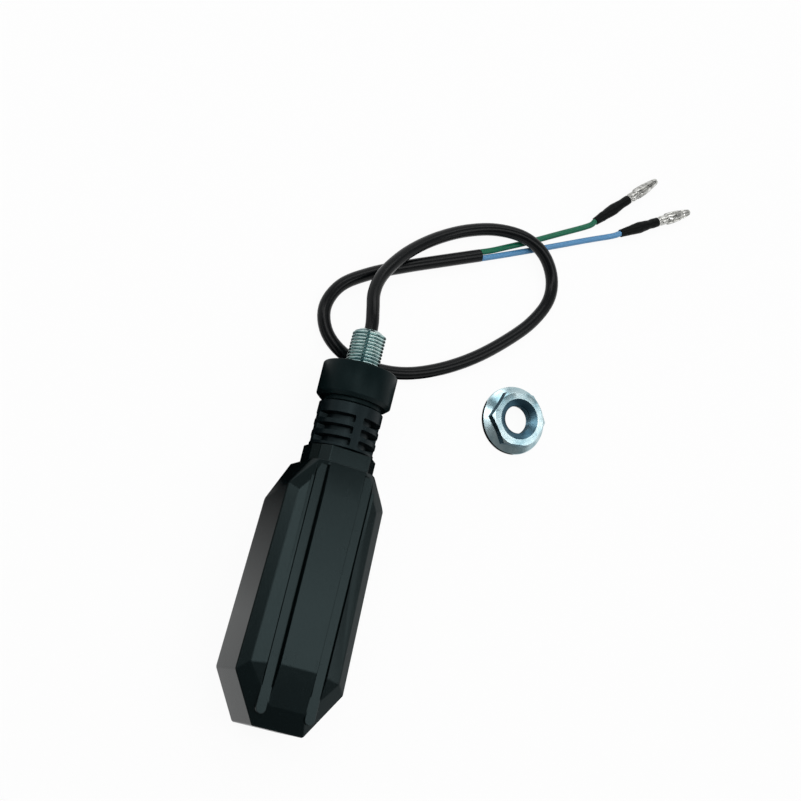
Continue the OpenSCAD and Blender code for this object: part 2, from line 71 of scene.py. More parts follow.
cover_lo, cover_hi = box_mm("rear_cover")
shell_lo, shell_hi = box_mm("front_shell")
collar_lo, collar_hi = box_mm("mounting_collar")
stud_hi = box_mm("threaded_stud")[1]
nut_lo, nut_hi = box_mm("flange_nut")

OUTER_HALF = cover_hi[0]
END_Y = -cover_lo[1]
NECK_Y = -cover_hi[1]
CREST_Z = cover_hi[2]
FLOOR_Z = shell_lo[2]
RIM_TOP = shell_hi[2]
PARTING_Z = 6.2
END_HALF = 7.5
SHOULDER_HALF = 14.7
ROOT_HALF = 9.6
ROOT_Y = 29.8
SHOULDER_Y = 38.5
SHOULDER_LEAN = 3.4
CORNER_Y = 91.0
RIM_BEVEL = 0.8
SHELL_WALL = 2.0
COVER_WALL = 1.8
CREST_HALF = 5.3
CREST_ROOT_Z = 9.9
CREST_START_Y = 39.5
CREST_END_Y = 87.0
BROW_Y = 98.5
BROW_Z = 8.85
CREASE_Z = 8.3
CREASE_IN = 2.8
CHANNEL_X = 7.2
CHANNEL_W = 3.9
CHANNEL_FLOOR_W = 3.0
CHANNEL_FLOOR_Z = 8.9
TONGUE_TIP_Y = 101.0
NECK_HALF = 10.0
NECK_HEIGHT_HALF = 9.5
NECK_FLAT_HALF = 6.0
NECK_SIDE_HALF = 3.4
PASSAGE_END_Y = 36.0
SOCKET_R = 7.0
GROOVE_R = 8.4
FLANGE_Y = 28.1
FLANGE_T = 3.2
LEDGE_Z = FLOOR_Z + 3.5
LEDGE_T = 1.2
LEDGE_W = 1.6

COLLAR_R = collar_hi[0] - 0.005
COLLAR_LEN = -collar_lo[1]
COLLAR_STEP = 1.2
STEM_R = 9.4
STEM_BORE_R = 2.6
STEM_START_Y = COLLAR_LEN + 0.3
STEM_END_Y = 25.0
STEM_SPLIT_Y = 18.4
TAIL_END_Y = 32.3
TAIL_R = 6.9
SLOT_ROWS = 3
SLOT_FIRST_Y = 16.2
SLOT_PITCH = 3.4
SLOT_W = 1.85
SLOT_DEPTH = 2.6
SLOT_ANGLE = 74.0

STUD_R = 5.0
STUD_END_Y = stud_hi[1]
STUD_BORE_R = 2.5
THREAD_PITCH = 1.0
THREAD_DEPTH = 0.55
THREAD_STEP = 0.07
ROOT_NARROWNESS = 1.4
STUD_GROOVE_TURN = 24.0
STUD_GROOVE_HALF = 0.34
STUD_GROOVE_DEPTH = 0.9

NUT_AT = ((nut_lo[0] + nut_hi[0]) / 2, (nut_lo[1] + nut_hi[1]) / 2)
NUT_H = nut_hi[2] - nut_lo[2]
NUT_AF = 16.0
NUT_FLANGE_R = (nut_hi[0] - nut_lo[0]) / 2
NUT_FLANGE_TOP = 1.8
NUT_HOLE_R = 4.32
SINK_DEPTH = 1.1
SINK_W = 2.0
NUT_TURN = 10.0

CORD_STEPS = 6
CABLE_D = 4.0
WIRE_D = 1.9
BULLET_D = 3.9
SHRINK_LEN = 15.5
LOW = FLOOR_Z + CABLE_D / 2
WIRE_LOW = FLOOR_Z + WIRE_D / 2
BULLET_LOW = FLOOR_Z + BULLET_D / 2
GREEN_END, GREEN_ANGLE = (69.3, 76.0), 49.0
BLUE_END, BLUE_ANGLE = (79.1, 75.4), 35.0


def beyond(at, angle, s, z):
    """The point s past at, in the direction of the angle in degrees, at height z."""
    a = math.radians(angle)
    return (at[0] + s * math.cos(a), at[1] + s * math.sin(a), z)


# the cable starts short of the stem's lead, whose end swings past it
CABLE_ROUTE = [
    (0, -10.6, 0), (0, 2, 0), (0, 13, 0), (-0.6, 19, -1), (-0.9, 24.5, -2.8), (0.6, 30.4, -4.8),
    (4.2, 36.8, -6.4), (9.8, 43.8, -8.6), (17.6, 50.9, -10.4), (26.6, 56.8, LOW), (36, 60.4, LOW + 0.8),
    (45.2, 60.8, LOW + 2.3), (53, 58, LOW + 1.9), (58.4, 52.2, LOW + 0.2), (59, 44.6, LOW),
    (54.9, 35.9, LOW), (47.8, 27.4, LOW), (38.8, 18.9, LOW), (28.8, 11.9, LOW), (18.2, 6.9, LOW),
    (8, 5, LOW), (-2, 6, LOW), (-9.2, 10.6, LOW), (-11.9, 17.9, LOW), (-8.8, 25.9, LOW),
    (-0.7, 32.6, LOW), (9.6, 38.6, LOW), (20.4, 44.3, LOW), (32.7, 50.7, LOW),
]
GREEN_ROUTE = [
    (30.5, 50.7, LOW), (36, 53.6, LOW - 0.4), (41, 56.7, WIRE_LOW), (48.6, 61.4, WIRE_LOW),
    (58, 67.6, WIRE_LOW), beyond(GREEN_END, GREEN_ANGLE, -3, WIRE_LOW + 0.6),
    beyond(GREEN_END, GREEN_ANGLE, 0, BULLET_LOW), beyond(GREEN_END, GREEN_ANGLE, 4.2, BULLET_LOW),
]
BLUE_ROUTE = [
    (31.4, 48.9, LOW), (37, 51.9, LOW - 0.4), (42.6, 55, WIRE_LOW), (51, 59.6, WIRE_LOW),
    (60.5, 64.9, WIRE_LOW), (69.3, 69.8, WIRE_LOW), beyond(BLUE_END, BLUE_ANGLE, -3, WIRE_LOW + 0.6),
    beyond(BLUE_END, BLUE_ANGLE, 0, BULLET_LOW), beyond(BLUE_END, BLUE_ANGLE, 4.2, BULLET_LOW),
]


# ---- mesh helpers
def link(obj):
    bpy.context.scene.collection.objects.link(obj)
    return obj


def object_in_metres(bm, name):
    """A new object whose mesh is bm."""
    mesh = bpy.data.meshes.new(name)
    bm.to_mesh(mesh)
    bm.free()
    return link(bpy.data.objects.new(name, mesh))


def object_in_mm(bm, name):
    """A new object whose mesh is bm, given in millimetres."""
    bmesh.ops.scale(bm, vec=(MM, MM, MM), verts=bm.verts)
    return object_in_metres(bm, name)


def applied(obj):
    """obj with its modifiers applied to a plain mesh, as a new object; obj is removed."""
    depsgraph = bpy.context.evaluated_depsgraph_get()
    depsgraph.update()
    mesh = bpy.data.meshes.new_from_object(obj.evaluated_get(depsgraph), depsgraph=depsgraph)
    name = obj.name
    bpy.data.objects.remove(obj)
    mesh.name = name
    return link(bpy.data.objects.new(name, mesh))


def boolean(obj, other, operation="DIFFERENCE"):
    """obj united with, or cut by, other, which is used up."""
    modifier = obj.modifiers.new("boolean", "BOOLEAN")
    modifier.operation = operation
    modifier.solver = "EXACT"
    modifier.object = other
    result = applied(obj)
    bpy.data.objects.remove(other)
    return result


def smoothed(obj, degrees=32.0):
    """Smooth shading with sharp edges where faces meet at more than the angle."""
    bm = bmesh.new()
    bm.from_mesh(obj.data)
    for face in bm.faces:
        face.smooth = True
    for edge in bm.edges:
        edge.smooth = len(edge.link_faces) == 2 and edge.calc_face_angle(0.0) < math.radians(degrees)
    bm.to_mesh(obj.data)
    bm.free()
    return obj


def crisp(obj, degrees=32.0):
    """smoothed, with normals weighted by area so that the large facets stay flat."""
    smoothed(obj, degrees)
    modifier = obj.modifiers.new("flat_facets", "WEIGHTED_NORMAL")
    modifier.keep_sharp = True
    modifier.weight = 50
    return applied(obj)


def hull_bmesh(points, flat_degrees=4.0):
    """The convex hull of the points, its nearly level neighbours joined."""
    bm = bmesh.new()
    for p in points:
        bm.verts.new(p)
    result = bmesh.ops.convex_hull(bm, input=bm.verts)
    unused = set(result["geom_interior"] + result["geom_unused"])
    bmesh.ops.delete(bm, geom=[g for g in unused if isinstance(g, bmesh.types.BMVert)], context="VERTS")
    bmesh.ops.dissolve_limit(bm, angle_limit=math.radians(flat_degrees), verts=bm.verts, edges=bm.edges)
    bmesh.ops.recalc_face_normals(bm, faces=bm.faces)
    return bm


def bevel(bm, width, segments=3, over_degrees=9.0, keep=None):
    """Rounds the edges that are sharper than the angle, where keep says so."""
    edges = [
        e for e in bm.edges
        if len(e.link_faces) == 2 and e.calc_face_angle(0.0) > math.radians(over_degrees)
        and (keep is None or keep((e.verts[0].co + e.verts[1].co) / 2, e))
    ]
    bmesh.ops.bevel(
        bm, geom=edges, offset=width, offset_type="OFFSET", segments=segments, profile=0.5,
        affect="EDGES", clamp_overlap=True,
    )
    return bm


def prism(outline, z0, z1, outline_top=None):
    """Points of a prism between two outlines."""
    return [(x, y, z0) for x, y in outline] + [(x, y, z1) for x, y in outline_top or outline]


def bridge(bm, rings, ring_shaped=True):
    """Faces from each ring of points to the next, and from the last back to the first if the solid is
    ring-shaped; otherwise its two ends are closed."""
    following = rings[1:] + rings[:1] if ring_shaped else rings[1:]
    for a, b in zip(rings, following):
        for k in range(len(a)):
            j = (k + 1) % len(a)
            bm.faces.new((a[k], a[j], b[j], b[k]))
    if not ring_shaped:
        bm.faces.new(rings[0])
        bm.faces.new(rings[-1])
    bmesh.ops.recalc_face_normals(bm, faces=bm.faces)
    return bm


def even_angles(sides):
    return [2 * math.pi * k / sides for k in range(sides)]


def level_ring(bm, r, z, sides):
    return [bm.verts.new((r * math.cos(a), r * math.sin(a), z)) for a in even_angles(sides)]


def along_y(profile, angles):
    """A ring-shaped solid about the Y axis from (distance out along the lamp, radius) pairs. The
    profile goes round the section and comes back to its start."""
    bm = bmesh.new()
    return bridge(bm, [
        [bm.verts.new((r * math.cos(a), -out, r * math.sin(a))) for a in angles] for out, r in profile])


def lathe(profile, start, direction, sides, lump=None):
    """A solid turned about the line from start along direction, from (distance, radius) pairs.
    lump changes the radius with distance and angle."""
    d = Vector(direction).normalized()
    side = d.cross(Vector((0, 0, 1))).normalized()
    up = side.cross(d)
    bm = bmesh.new()
    rings = []
    for s, radius in profile:
        ring = []
        for a in even_angles(sides):
            r = radius * (lump(s, a) if lump else 1.0)
            ring.append(bm.verts.new(
                Vector(start) + d * s + side * (r * math.cos(a)) + up * (r * math.sin(a))))
        rings.append(ring)
    return bridge(bm, rings, ring_shaped=False)


# ---- outlines of the lamp
def plan(d=0.0, lean=0.0):
    """The lamp's outline from above, moved in by d."""
    return [
        (-END_HALF + 0.4 * d, -END_Y + d), (END_HALF - 0.4 * d, -END_Y + d),
        (OUTER_HALF - d, -CORNER_Y + 0.6 * d), (SHOULDER_HALF - d, -SHOULDER_Y - lean - 0.4 * d),
        (ROOT_HALF - 0.8 * d, -ROOT_Y - d), (-ROOT_HALF + 0.8 * d, -ROOT_Y - d),
        (-SHOULDER_HALF + d, -SHOULDER_Y - lean - 0.4 * d), (-OUTER_HALF + d, -CORNER_Y + 0.6 * d),
    ]


def crown_points(d=0.0):
    """The corners of the cover's crown, moved in by d."""
    points = [(x, y, PARTING_Z) for x, y in plan(d)]
    for s in (-1, 1):
        points += [
            (s * (OUTER_HALF - CREASE_IN - d), -CORNER_Y + CREASE_IN, CREASE_Z - d),
            (s * (SHOULDER_HALF - CREASE_IN - d), -SHOULDER_Y - CREASE_IN / 2, CREASE_Z - d),
            (s * (ROOT_HALF - CREASE_IN / 2 - d), -ROOT_Y - d, CREASE_Z - d),
            (s * (CREST_HALF - d), -BROW_Y + d, BROW_Z - d),
            (s * (CHANNEL_X + CHANNEL_W / 2 - d), -CREST_END_Y, BROW_Z - d),
            (s * (CREST_HALF - d), -ROOT_Y - d, CREST_ROOT_Z - d),
            (s * (CREST_HALF - d), -CREST_END_Y, CREST_Z - d),
            (s * (CREST_HALF - d), -CREST_START_Y, CREST_Z - d),
        ]
    return points


def neck_points(z_from, z_to):
    """Points of the eight-sided neck between two heights."""
    w, h, f, s = NECK_HALF, NECK_HEIGHT_HALF, NECK_FLAT_HALF, NECK_SIDE_HALF
    outline = [(-f, -h), (f, -h), (w, -s), (w, s), (f, h), (-f, h), (-w, s), (-w, -s)]
    points = []
    for i, (x, z) in enumerate(outline):
        if z_from <= z <= z_to:
            points.append((x, z))
        x2, z2 = outline[(i + 1) % len(outline)]
        for level in (z_from, z_to):
            if (z - level) * (z2 - level) < 0:
                t = (level - z) / (z2 - z)
                points.append((x + t * (x2 - x), level))
    return [(x, -y, z) for x, z in points for y in (NECK_Y, PASSAGE_END_Y)]


def passage_cutter():
    """The bore through the neck, with the groove for the stem's flange."""
    profile = [
        (NECK_Y - 1, 0.01), (NECK_Y - 1, SOCKET_R), (FLANGE_Y, SOCKET_R), (FLANGE_Y, GROOVE_R),
        (FLANGE_Y + FLANGE_T, GROOVE_R), (FLANGE_Y + FLANGE_T, SOCKET_R), (PASSAGE_END_Y + 1, SOCKET_R),
        (PASSAGE_END_Y + 1, 0.01),
    ]
    return object_in_mm(lathe(profile, (0, 0, 0), (0, -1, 0), 96), "passage")


def closed_behind_neck(bm):
    """bm cut off where the passage ends, and closed there."""
    bmesh.ops.bisect_plane(
        bm, geom=bm.verts[:] + bm.edges[:] + bm.faces[:], plane_co=(0, -PASSAGE_END_Y, 0),
        plane_no=(0, 1, 0), clear_outer=True)
    bmesh.ops.holes_fill(bm, edges=[e for e in bm.edges if len(e.link_faces) == 1], sides=0)
    bmesh.ops.recalc_face_normals(bm, faces=bm.faces)
    return bm


# ---- materials
class Nodes:
    """Short calls to build a node tree. A value given to an input may be another node's output."""

    def __init__(self, tree):
        self.tree = tree

    def feed(self, node, values):
        for key, value in values.items():
            if isinstance(value, bpy.types.NodeSocket):
                self.tree.links.new(value, node.inputs[key])
            else:
                node.inputs[key].default_value = value

    def add(self, kind, values=None, **settings):
        node = self.tree.nodes.new(kind)
        for key, value in settings.items():
            setattr(node, key, value)
        self.feed(node, values or {})
        return node

    def math(self, operation, *values, clamp=False):
        settings = {"operation": operation, "use_clamp": clamp}
        return self.add("ShaderNodeMath", dict(enumerate(values)), **settings).outputs[0]

    def plus(self, a, b, clamp=False):
        return self.math("ADD", a, b, clamp=clamp)

    def minus(self, a, b, clamp=False):
        return self.math("SUBTRACT", a, b, clamp=clamp)

    def times(self, a, b, clamp=False):
        return self.math("MULTIPLY", a, b, clamp=clamp)

    def place(self, coordinate="Object"):
        return self.add("ShaderNodeTexCoord").outputs[coordinate]

    def noise(self, **values):
        return self.add("ShaderNodeTexNoise", values).outputs["Fac"]

    def mix(self, factor, a, b, blend_type="MIX"):
        """The colour between a and b."""
        node = self.add("ShaderNodeMix", data_type="RGBA", blend_type=blend_type)
        self.feed(node, {"Factor": factor, 6: a, 7: b})
        return node.outputs[2]

    def ranged(self, values, **settings):
        return self.add("ShaderNodeMapRange", values, **settings).outputs["Result"]

    def bump(self, height, strength, distance):
        values = {"Height": height, "Strength": strength, "Distance": distance}
        return self.add("ShaderNodeBump", values).outputs["Normal"]


def new_material(name):
    """A material, the means to add nodes to it, and its Principled shader."""
    material = bpy.data.materials.new(name)
    material.use_nodes = True
    return material, Nodes(material.node_tree), material.node_tree.nodes["Principled BSDF"]


def surface_group(name, build, inputs):
    """A shader node group for a finish: build gives its colour, roughness and normal. An input of
    four numbers is a colour, and one of three is a vector."""
    tree = bpy.data.node_groups.new(name, "ShaderNodeTree")
    for label, value in inputs.items():
        kind = "Float" if isinstance(value, float) else {3: "Vector", 4: "Color"}[len(value)]
        socket = tree.interface.new_socket(name=label, in_out="INPUT", socket_type="NodeSocket" + kind)
        socket.default_value = value
    for label, kind in (("Color", "Color"), ("Roughness", "Float"), ("Normal", "Vector")):
        tree.interface.new_socket(name=label, in_out="OUTPUT", socket_type="NodeSocket" + kind)
    n = Nodes(tree)
    color, rough, normal = build(n, n.add("NodeGroupInput").outputs)
    n.add("NodeGroupOutput", {"Color": color, "Roughness": rough, "Normal": normal})
    return tree


def build_moulded(n, given):
    """Fine moulded grain with slow drift of tone and sheen, and faint handling marks."""
    place = n.place()
    grain = n.noise(Vector=place, Scale=given["Grain Scale"], Detail=3.0, Roughness=0.6)
    drift = n.noise(Vector=place, Scale=60.0, Detail=2.0)
    marks = n.noise(Vector=place, Scale=260.0, Detail=6.0, Roughness=0.7, Distortion=1.2)
    fine, slow = n.minus(grain, 0.5), n.minus(drift, 0.5)
    rub = n.times(n.minus(marks, 0.6, clamp=True), 3.0, clamp=True)
    tone = n.plus(n.times(fine, 0.25), n.times(slow, 0.7))
    tone = n.times(tone, given["Tone Spread"])
    tone = n.plus(n.plus(tone, 0.5), n.times(rub, given["Marks"]), clamp=True)
    rough = n.times(n.plus(n.times(fine, 0.5), slow), given["Roughness Spread"])
    rough = n.plus(n.plus(rough, given["Roughness"]), n.times(rub, 0.12), clamp=True)
    color = n.mix(tone, given["Dark"], given["Light"])
    return color, rough, n.bump(grain, given["Grain Depth"], 0.00004)


def build_plated(n, given):
    """Zinc or nickel plate: blue and straw tints, fine tool lines and dull specks."""
    place = n.place()
    tint = n.noise(Vector=place, Scale=given["Tint Scale"], Detail=2.0, Distortion=0.6)
    speck = n.noise(Vector=place, Scale=1500.0, Detail=4.0, Roughness=0.65)
    stretch = n.add("ShaderNodeMapping", {"Vector": place, "Scale": given["Line Stretch"]})
    lines = n.noise(Vector=stretch.outputs[0], Scale=900.0, Detail=2.0)
    swing = n.times(n.minus(tint, 0.3), 2.2, clamp=True)
    dull = n.times(n.minus(speck, 0.58, clamp=True), 3.0, clamp=True)
    color = n.mix(
        n.times(dull, given["Dulling"]), n.mix(swing, given["Cool"], given["Warm"]),
        (0.35, 0.36, 0.38, 1), "MULTIPLY")
    rough = n.plus(given["Roughness"], n.times(lines, 0.12))
    rough = n.plus(rough, n.times(dull, 0.3), clamp=True)
    return color, rough, n.bump(lines, given["Line Depth"], 0.00003)


MOULDED = surface_group("moulded_surface", build_moulded, {
    "Dark": (0.01, 0.01, 0.01, 1), "Light": (0.03, 0.03, 0.03, 1), "Tone Spread": 0.6, "Marks": 0.1,
    "Roughness": 0.5, "Roughness Spread": 0.1, "Grain Scale": 3000.0, "Grain Depth": 0.3,
})
PLATED = surface_group("plated_surface", build_plated, {
    "Cool": (0.6, 0.7, 0.8, 1), "Warm": (0.8, 0.8, 0.75, 1), "Roughness": 0.2, "Dulling": 0.5,
    "Line Stretch": (1, 1, 1), "Line Depth": 0.35, "Tint Scale": 170.0,
})


def finish_material(name, group, values, shader_values):
    """A Principled material whose colour, roughness and normal come from a shared group."""
    material, n, shader = new_material(name)
    surface = n.add("ShaderNodeGroup", node_tree=group)
    n.feed(surface, values)
    for source, target in (("Color", "Base Color"), ("Roughness", "Roughness"), ("Normal", "Normal")):
        n.feed(shader, {target: surface.outputs[source]})
    n.feed(shader, shader_values)
    return material


def rgb(r, g, b):
    """A colour written as sRGB 0..255, in linear light."""
    def linear(v):
        v = v / 255
        return v / 12.92 if v <= 0.04045 else ((v + 0.055) / 1.055) ** 2.4
    return (linear(r), linear(g), linear(b), 1.0)


def moulded(name, dark, light, rough, spread, grain, depth, marks, tone=0.6, **shader):
    """Plastic or rubber between two tones; spread is the roughness's, and depth the grain's."""
    values = {
        "Dark": rgb(*dark), "Light": rgb(*light), "Tone Spread": tone, "Marks": marks,
        "Roughness": rough, "Roughness Spread": spread, "Grain Scale": grain, "Grain Depth": depth,
    }
    return finish_material(name, MOULDED, values, {k.replace("_", " "): v for k, v in shader.items()})


def plated(name, cool, warm, rough, dulling, stretch, tint_scale=170.0, line_depth=0.35):
    """Bright plate between two tints; stretch squeezes its tool lines along an axis."""
    values = {
        "Cool": rgb(*cool), "Warm": rgb(*warm), "Roughness": rough, "Dulling": dulling,
        "Line Stretch": stretch, "Tint Scale": tint_scale, "Line Depth": line_depth,
    }
    return finish_material(name, PLATED, values, {"Metallic": 1.0})


M_COVER = moulded(
    "cover_black", (2, 7, 8), (7, 15, 16), 0.25, 0.06, 2600.0, 0.3, 0.1,
    Specular_IOR_Level=0.22, Specular_Tint=(0.7, 0.97, 1.0, 1))
M_SHELL = moulded(
    "shell_black", (2, 9, 10), (7, 16, 17), 0.24, 0.05, 1500.0, 0.04, 0.05,
    Specular_IOR_Level=0.09, Specular_Tint=(0.8, 1.0, 0.98, 1))
M_COLLAR = moulded(
    "collar_black", (2, 12, 14), (12, 24, 25), 0.34, 0.08, 2200.0, 0.3, 0.08,
    Specular_IOR_Level=0.085, Specular_Tint=(0.7, 0.97, 1.0, 1))
M_RUBBER = moulded(
    "black_rubber", (2, 9, 12), (14, 22, 25), 0.32, 0.08, 2600.0, 0.3, 0.1,
    Specular_IOR_Level=0.16, Specular_Tint=(0.7, 0.95, 1.0, 1))
M_CABLE = moulded(
    "cable_sheath", (1, 3, 5), (10, 13, 15), 0.26, 0.08, 1400.0, 0.15, 0.1, Specular_IOR_Level=0.17)
M_SHRINK = moulded(
    "heat_shrink_black", (3, 5, 5), (16, 19, 18), 0.4, 0.12, 1800.0, 0.4, 0.1,
    Specular_IOR_Level=0.08)
M_GREEN = moulded(
    "wire_sleeve_green", (0, 84, 58), (6, 118, 86), 0.34, 0.08, 1500.0, 0.15, 0.05,
    Specular_IOR_Level=0.3)
M_BLUE = moulded(
    "wire_sleeve_blue", (66, 126, 176), (98, 160, 206), 0.34, 0.08, 1500.0, 0.15, 0.05)
M_BOARD = moulded("board_green", (18, 64, 38), (34, 92, 56), 0.4, 0.1, 900.0, 0.1, 0.1)
M_CERAMIC = moulded("ceramic_black", (22, 22, 22), (46, 46, 46), 0.4, 0.1, 2000.0, 0.1, 0.1)
M_AMBER = moulded("led_amber", (214, 148, 40), (244, 196, 92), 0.28, 0.05, 1500.0, 0.05, 0.05)
M_LENS = moulded(
    "smoked_lens", (70, 62, 58), (96, 86, 80), 0.06, 0.03, 700.0, 0.04, 0.05, 0.3,
    Transmission_Weight=0.85, IOR=1.49, Coat_Weight=0.3, Coat_Roughness=0.05)

EVEN, ACROSS_Y, ACROSS_XY = (1, 1, 1), (1, 6, 1), (3, 3, 1)
M_ZINC = plated("zinc_steel", (134, 168, 178), (210, 226, 228), 0.14, 0.45, ACROSS_Y, line_depth=0.2)
M_STUD = plated("zinc_stud", (136, 168, 170), (206, 226, 222), 0.15, 0.12, EVEN, line_depth=0.05)
# a darker copy of the stud's zinc: painted shade for the thread roots and the groove
M_THREAD_ROOT_SHADE = plated(
    "zinc_thread_root_shade", (74, 104, 108), (126, 152, 152), 0.2, 0.12, EVEN, line_depth=0.05)
# a darker copy of the zinc: painted shade on the nut's upright faces and in its bore
M_SHADED_ZINC = plated("zinc_painted_shade", (38, 66, 82), (88, 120, 134), 0.22, 0.5, ACROSS_Y)
M_NICKEL = plated("nickel", (120, 120, 116), (240, 240, 236), 0.12, 0.6, ACROSS_XY, tint_scale=600.0)
M_REFLECTOR = plated("reflector_silver", (206, 208, 212), (238, 238, 238), 0.16, 0.2, EVEN)


def paint(obj, material):
    obj.data.materials.clear()
    obj.data.materials.append(material)
    return obj


# ---- geometry node trees
def rule_tree(name, inputs, build, material):
    """A Geometry Nodes tree that moves the points of a turned sleeve by build's rule, and then sets
    its material."""
    tree = bpy.data.node_groups.new(name, "GeometryNodeTree")
    tree.interface.new_socket(name="Geometry", in_out="INPUT", socket_type="NodeSocketGeometry")
    for label, value in inputs:
        socket = tree.interface.new_socket(name=label, in_out="INPUT", socket_type="NodeSocketFloat")
        socket.default_value = value
    tree.interface.new_socket(name="Geometry", in_out="OUTPUT", socket_type="NodeSocketGeometry")
    n = Nodes(tree)
    given = n.add("NodeGroupInput").outputs
    moved = build(n, given, n.add("GeometryNodeInputPosition").outputs[0])
    shape = n.add("GeometryNodeSetPosition", {"Geometry": given["Geometry"], "Position": moved})
    shape = n.add("GeometryNodeRealizeInstances", {"Geometry": shape.outputs["Geometry"]})
    shape = n.add("GeometryNodeSetMaterial", {
        "Geometry": shape.outputs["Geometry"], "Material": material})
    n.add("NodeGroupOutput", {"Geometry": shape.outputs["Geometry"]})
    return tree


def length_2d(n, a, b):
    return n.math("SQRT", n.plus(n.times(a, a), n.times(b, b)))


def polar(n, place, across, up):
    """The point's coordinates, and its radius and angle about the axis that is left over."""
    at = n.add("ShaderNodeSeparateXYZ", {0: place}).outputs
    return at, length_2d(n, at[across], at[up]), n.math("ARCTAN2", at[up], at[across])


def sunk(n, at, across, up, radius, cut):
    """The point moved in towards the axis by cut."""
    ratio = n.math("DIVIDE", n.minus(radius, cut), radius)
    parts = [n.times(at[i], ratio) if i in (across, up) else at[i] for i in range(3)]
    return n.add("ShaderNodeCombineXYZ", dict(enumerate(parts))).outputs[0]


def build_thread(across, up, axis):
    """A screw thread: the radius follows round crests and narrow roots that wind once a pitch."""
    def build(n, given, place):
        at, radius, angle = polar(n, place, across, up)
        pitches = n.math("DIVIDE", at[axis], given["Pitch"])
        turns = n.plus(pitches, n.math("DIVIDE", angle, 2 * math.pi))
        wave = n.math("COSINE", n.times(turns, 2 * math.pi))
        shape = n.math("POWER", n.minus(0.5, n.times(wave, 0.5), clamp=True), ROOT_NARROWNESS)
        from_middle = n.math("ABSOLUTE", n.minus(at[axis], given["Middle"]))
        near = n.minus(given["End Taper"], from_middle)
        fade = n.times(near, n.math("DIVIDE", 1.0, given["Fade"]), clamp=True)
        off_wall = n.math("ABSOLUTE", n.minus(radius, given["Radius"]))
        walls = n.math("LESS_THAN", off_wall, given["Reach"])
        cut = n.times(n.times(shape, n.times(fade, walls)), given["Depth"])
        return sunk(n, at, across, up, radius, cut)
    return build


THREAD_INPUTS = [
    ("Pitch", 0.001), ("Depth", 0.0005), ("Radius", 0.005), ("Reach", 0.0002), ("Middle", 0.0),
    ("End Taper", 0.006), ("Fade", 0.001),
]


def build_slots(n, given, place):
    """Rows of four slots round the sleeve, with rounded corners and soft lips."""
    at, radius, angle = polar(n, place, 0, 2)
    out = n.times(at[1], -1.0)
    row = n.math("ROUND", n.math("DIVIDE", n.minus(out, given["First Row"]), given["Pitch"]))
    row = n.math("MAXIMUM", n.math("MINIMUM", row, n.minus(given["Rows"], 1.0)), 0.0)
    centre = n.plus(given["First Row"], n.times(row, given["Pitch"]))
    across = n.math("ABSOLUTE", n.minus(out, centre))
    quarter = n.math("DIVIDE", n.minus(angle, math.pi / 4), math.pi / 2)
    round_off = n.minus(quarter, n.math("ROUND", quarter))
    along = n.times(n.math("ABSOLUTE", n.times(round_off, math.pi / 2)), given["Radius"])
    corner = given["Corner"]
    dx = n.minus(along, n.minus(given["Half Arc"], corner))
    dy = n.minus(across, n.minus(n.times(given["Width"], 0.5), corner))
    far = length_2d(n, n.math("MAXIMUM", dx, 0.0), n.math("MAXIMUM", dy, 0.0))
    near = n.math("MINIMUM", n.math("MAXIMUM", dx, dy), 0.0)
    ease = n.ranged({
        "Value": n.minus(n.plus(far, near), corner), "From Min": n.times(given["Lip"], 0.6),
        "From Max": n.times(given["Lip"], -0.4)}, interpolation_type="SMOOTHSTEP")
    walls = n.math("GREATER_THAN", radius, n.minus(given["Radius"], 0.2 * MM))
    cut = n.times(n.times(ease, given["Depth"]), walls)
    return sunk(n, at, 0, 2, radius, cut)


SLOT_INPUTS = [
    ("First Row", SLOT_FIRST_Y * MM), ("Pitch", SLOT_PITCH * MM), ("Rows", float(SLOT_ROWS)),
    ("Width", SLOT_W * MM), ("Depth", SLOT_DEPTH * MM), ("Radius", STEM_R * MM),
    ("Half Arc", math.radians(SLOT_ANGLE / 2) * STEM_R * MM), ("Corner", 0.35 * MM),
    ("Lip", 0.22 * MM),
]

THREAD_Y = rule_tree("screw_thread_along_y", THREAD_INPUTS, build_thread(0, 2, 1), M_STUD)
THREAD_Z = rule_tree("screw_thread_along_z", THREAD_INPUTS, build_thread(0, 1, 2), M_ZINC)
SLOTS = rule_tree("slotted_sleeve", SLOT_INPUTS, build_slots, M_RUBBER)


def shaped_by(obj, tree, values=None):
    """obj with the tree's modifier applied, its inputs set by their identifiers."""
    modifier = obj.modifiers.new(tree.name, "NODES")
    modifier.node_group = tree
    for item in tree.interface.items_tree:
        if item.item_type == "SOCKET" and item.in_out == "INPUT" and item.name in (values or {}):
            modifier[item.identifier] = float(values[item.name])
    return applied(obj)


# ---- camera
CAMERA_AT = (-0.14179, -0.10911, 0.40263)
CAMERA_FORWARD = (0.351, 0.2354, -0.9063)
CAMERA_UP = (-0.3034, 0.9443, 0.1277)
CAMERA_LENS = 68.46


def make_camera():
    data = bpy.data.cameras.new("camera")
    camera = link(bpy.data.objects.new("camera", data))
    forward = Vector(CAMERA_FORWARD).normalized()
    right = forward.cross(Vector(CAMERA_UP)).normalized()
    up = right.cross(forward)
    turn = Matrix((right, up, -forward)).transposed().to_4x4()
    camera.matrix_world = Matrix.Translation(Vector(CAMERA_AT)) @ turn
    data.sensor_width = 36.0
    data.lens = CAMERA_LENS
    data.clip_start = 0.01
    data.clip_end = 20.0
    bpy.context.scene.camera = camera


make_camera()


# ---- cable and wires
def smooth_points(points, steps):
    """Points of a smooth curve through the given ones, in metres."""
    result = []
    for i in range(len(points) - 1):
        a, b = Vector(points[max(i - 1, 0)]), Vector(points[i])
        c, d = Vector(points[i + 1]), Vector(points[min(i + 2, len(points) - 1)])
        for j in range(steps):
            t = j / steps
            result.append(0.5 * (2 * b + (c - a) * t + (2 * a - 5 * b + 4 * c - d) * t * t
                                 + (3 * b - a - 3 * c + d) * t ** 3) * MM)
    return result + [Vector(points[-1]) * MM]


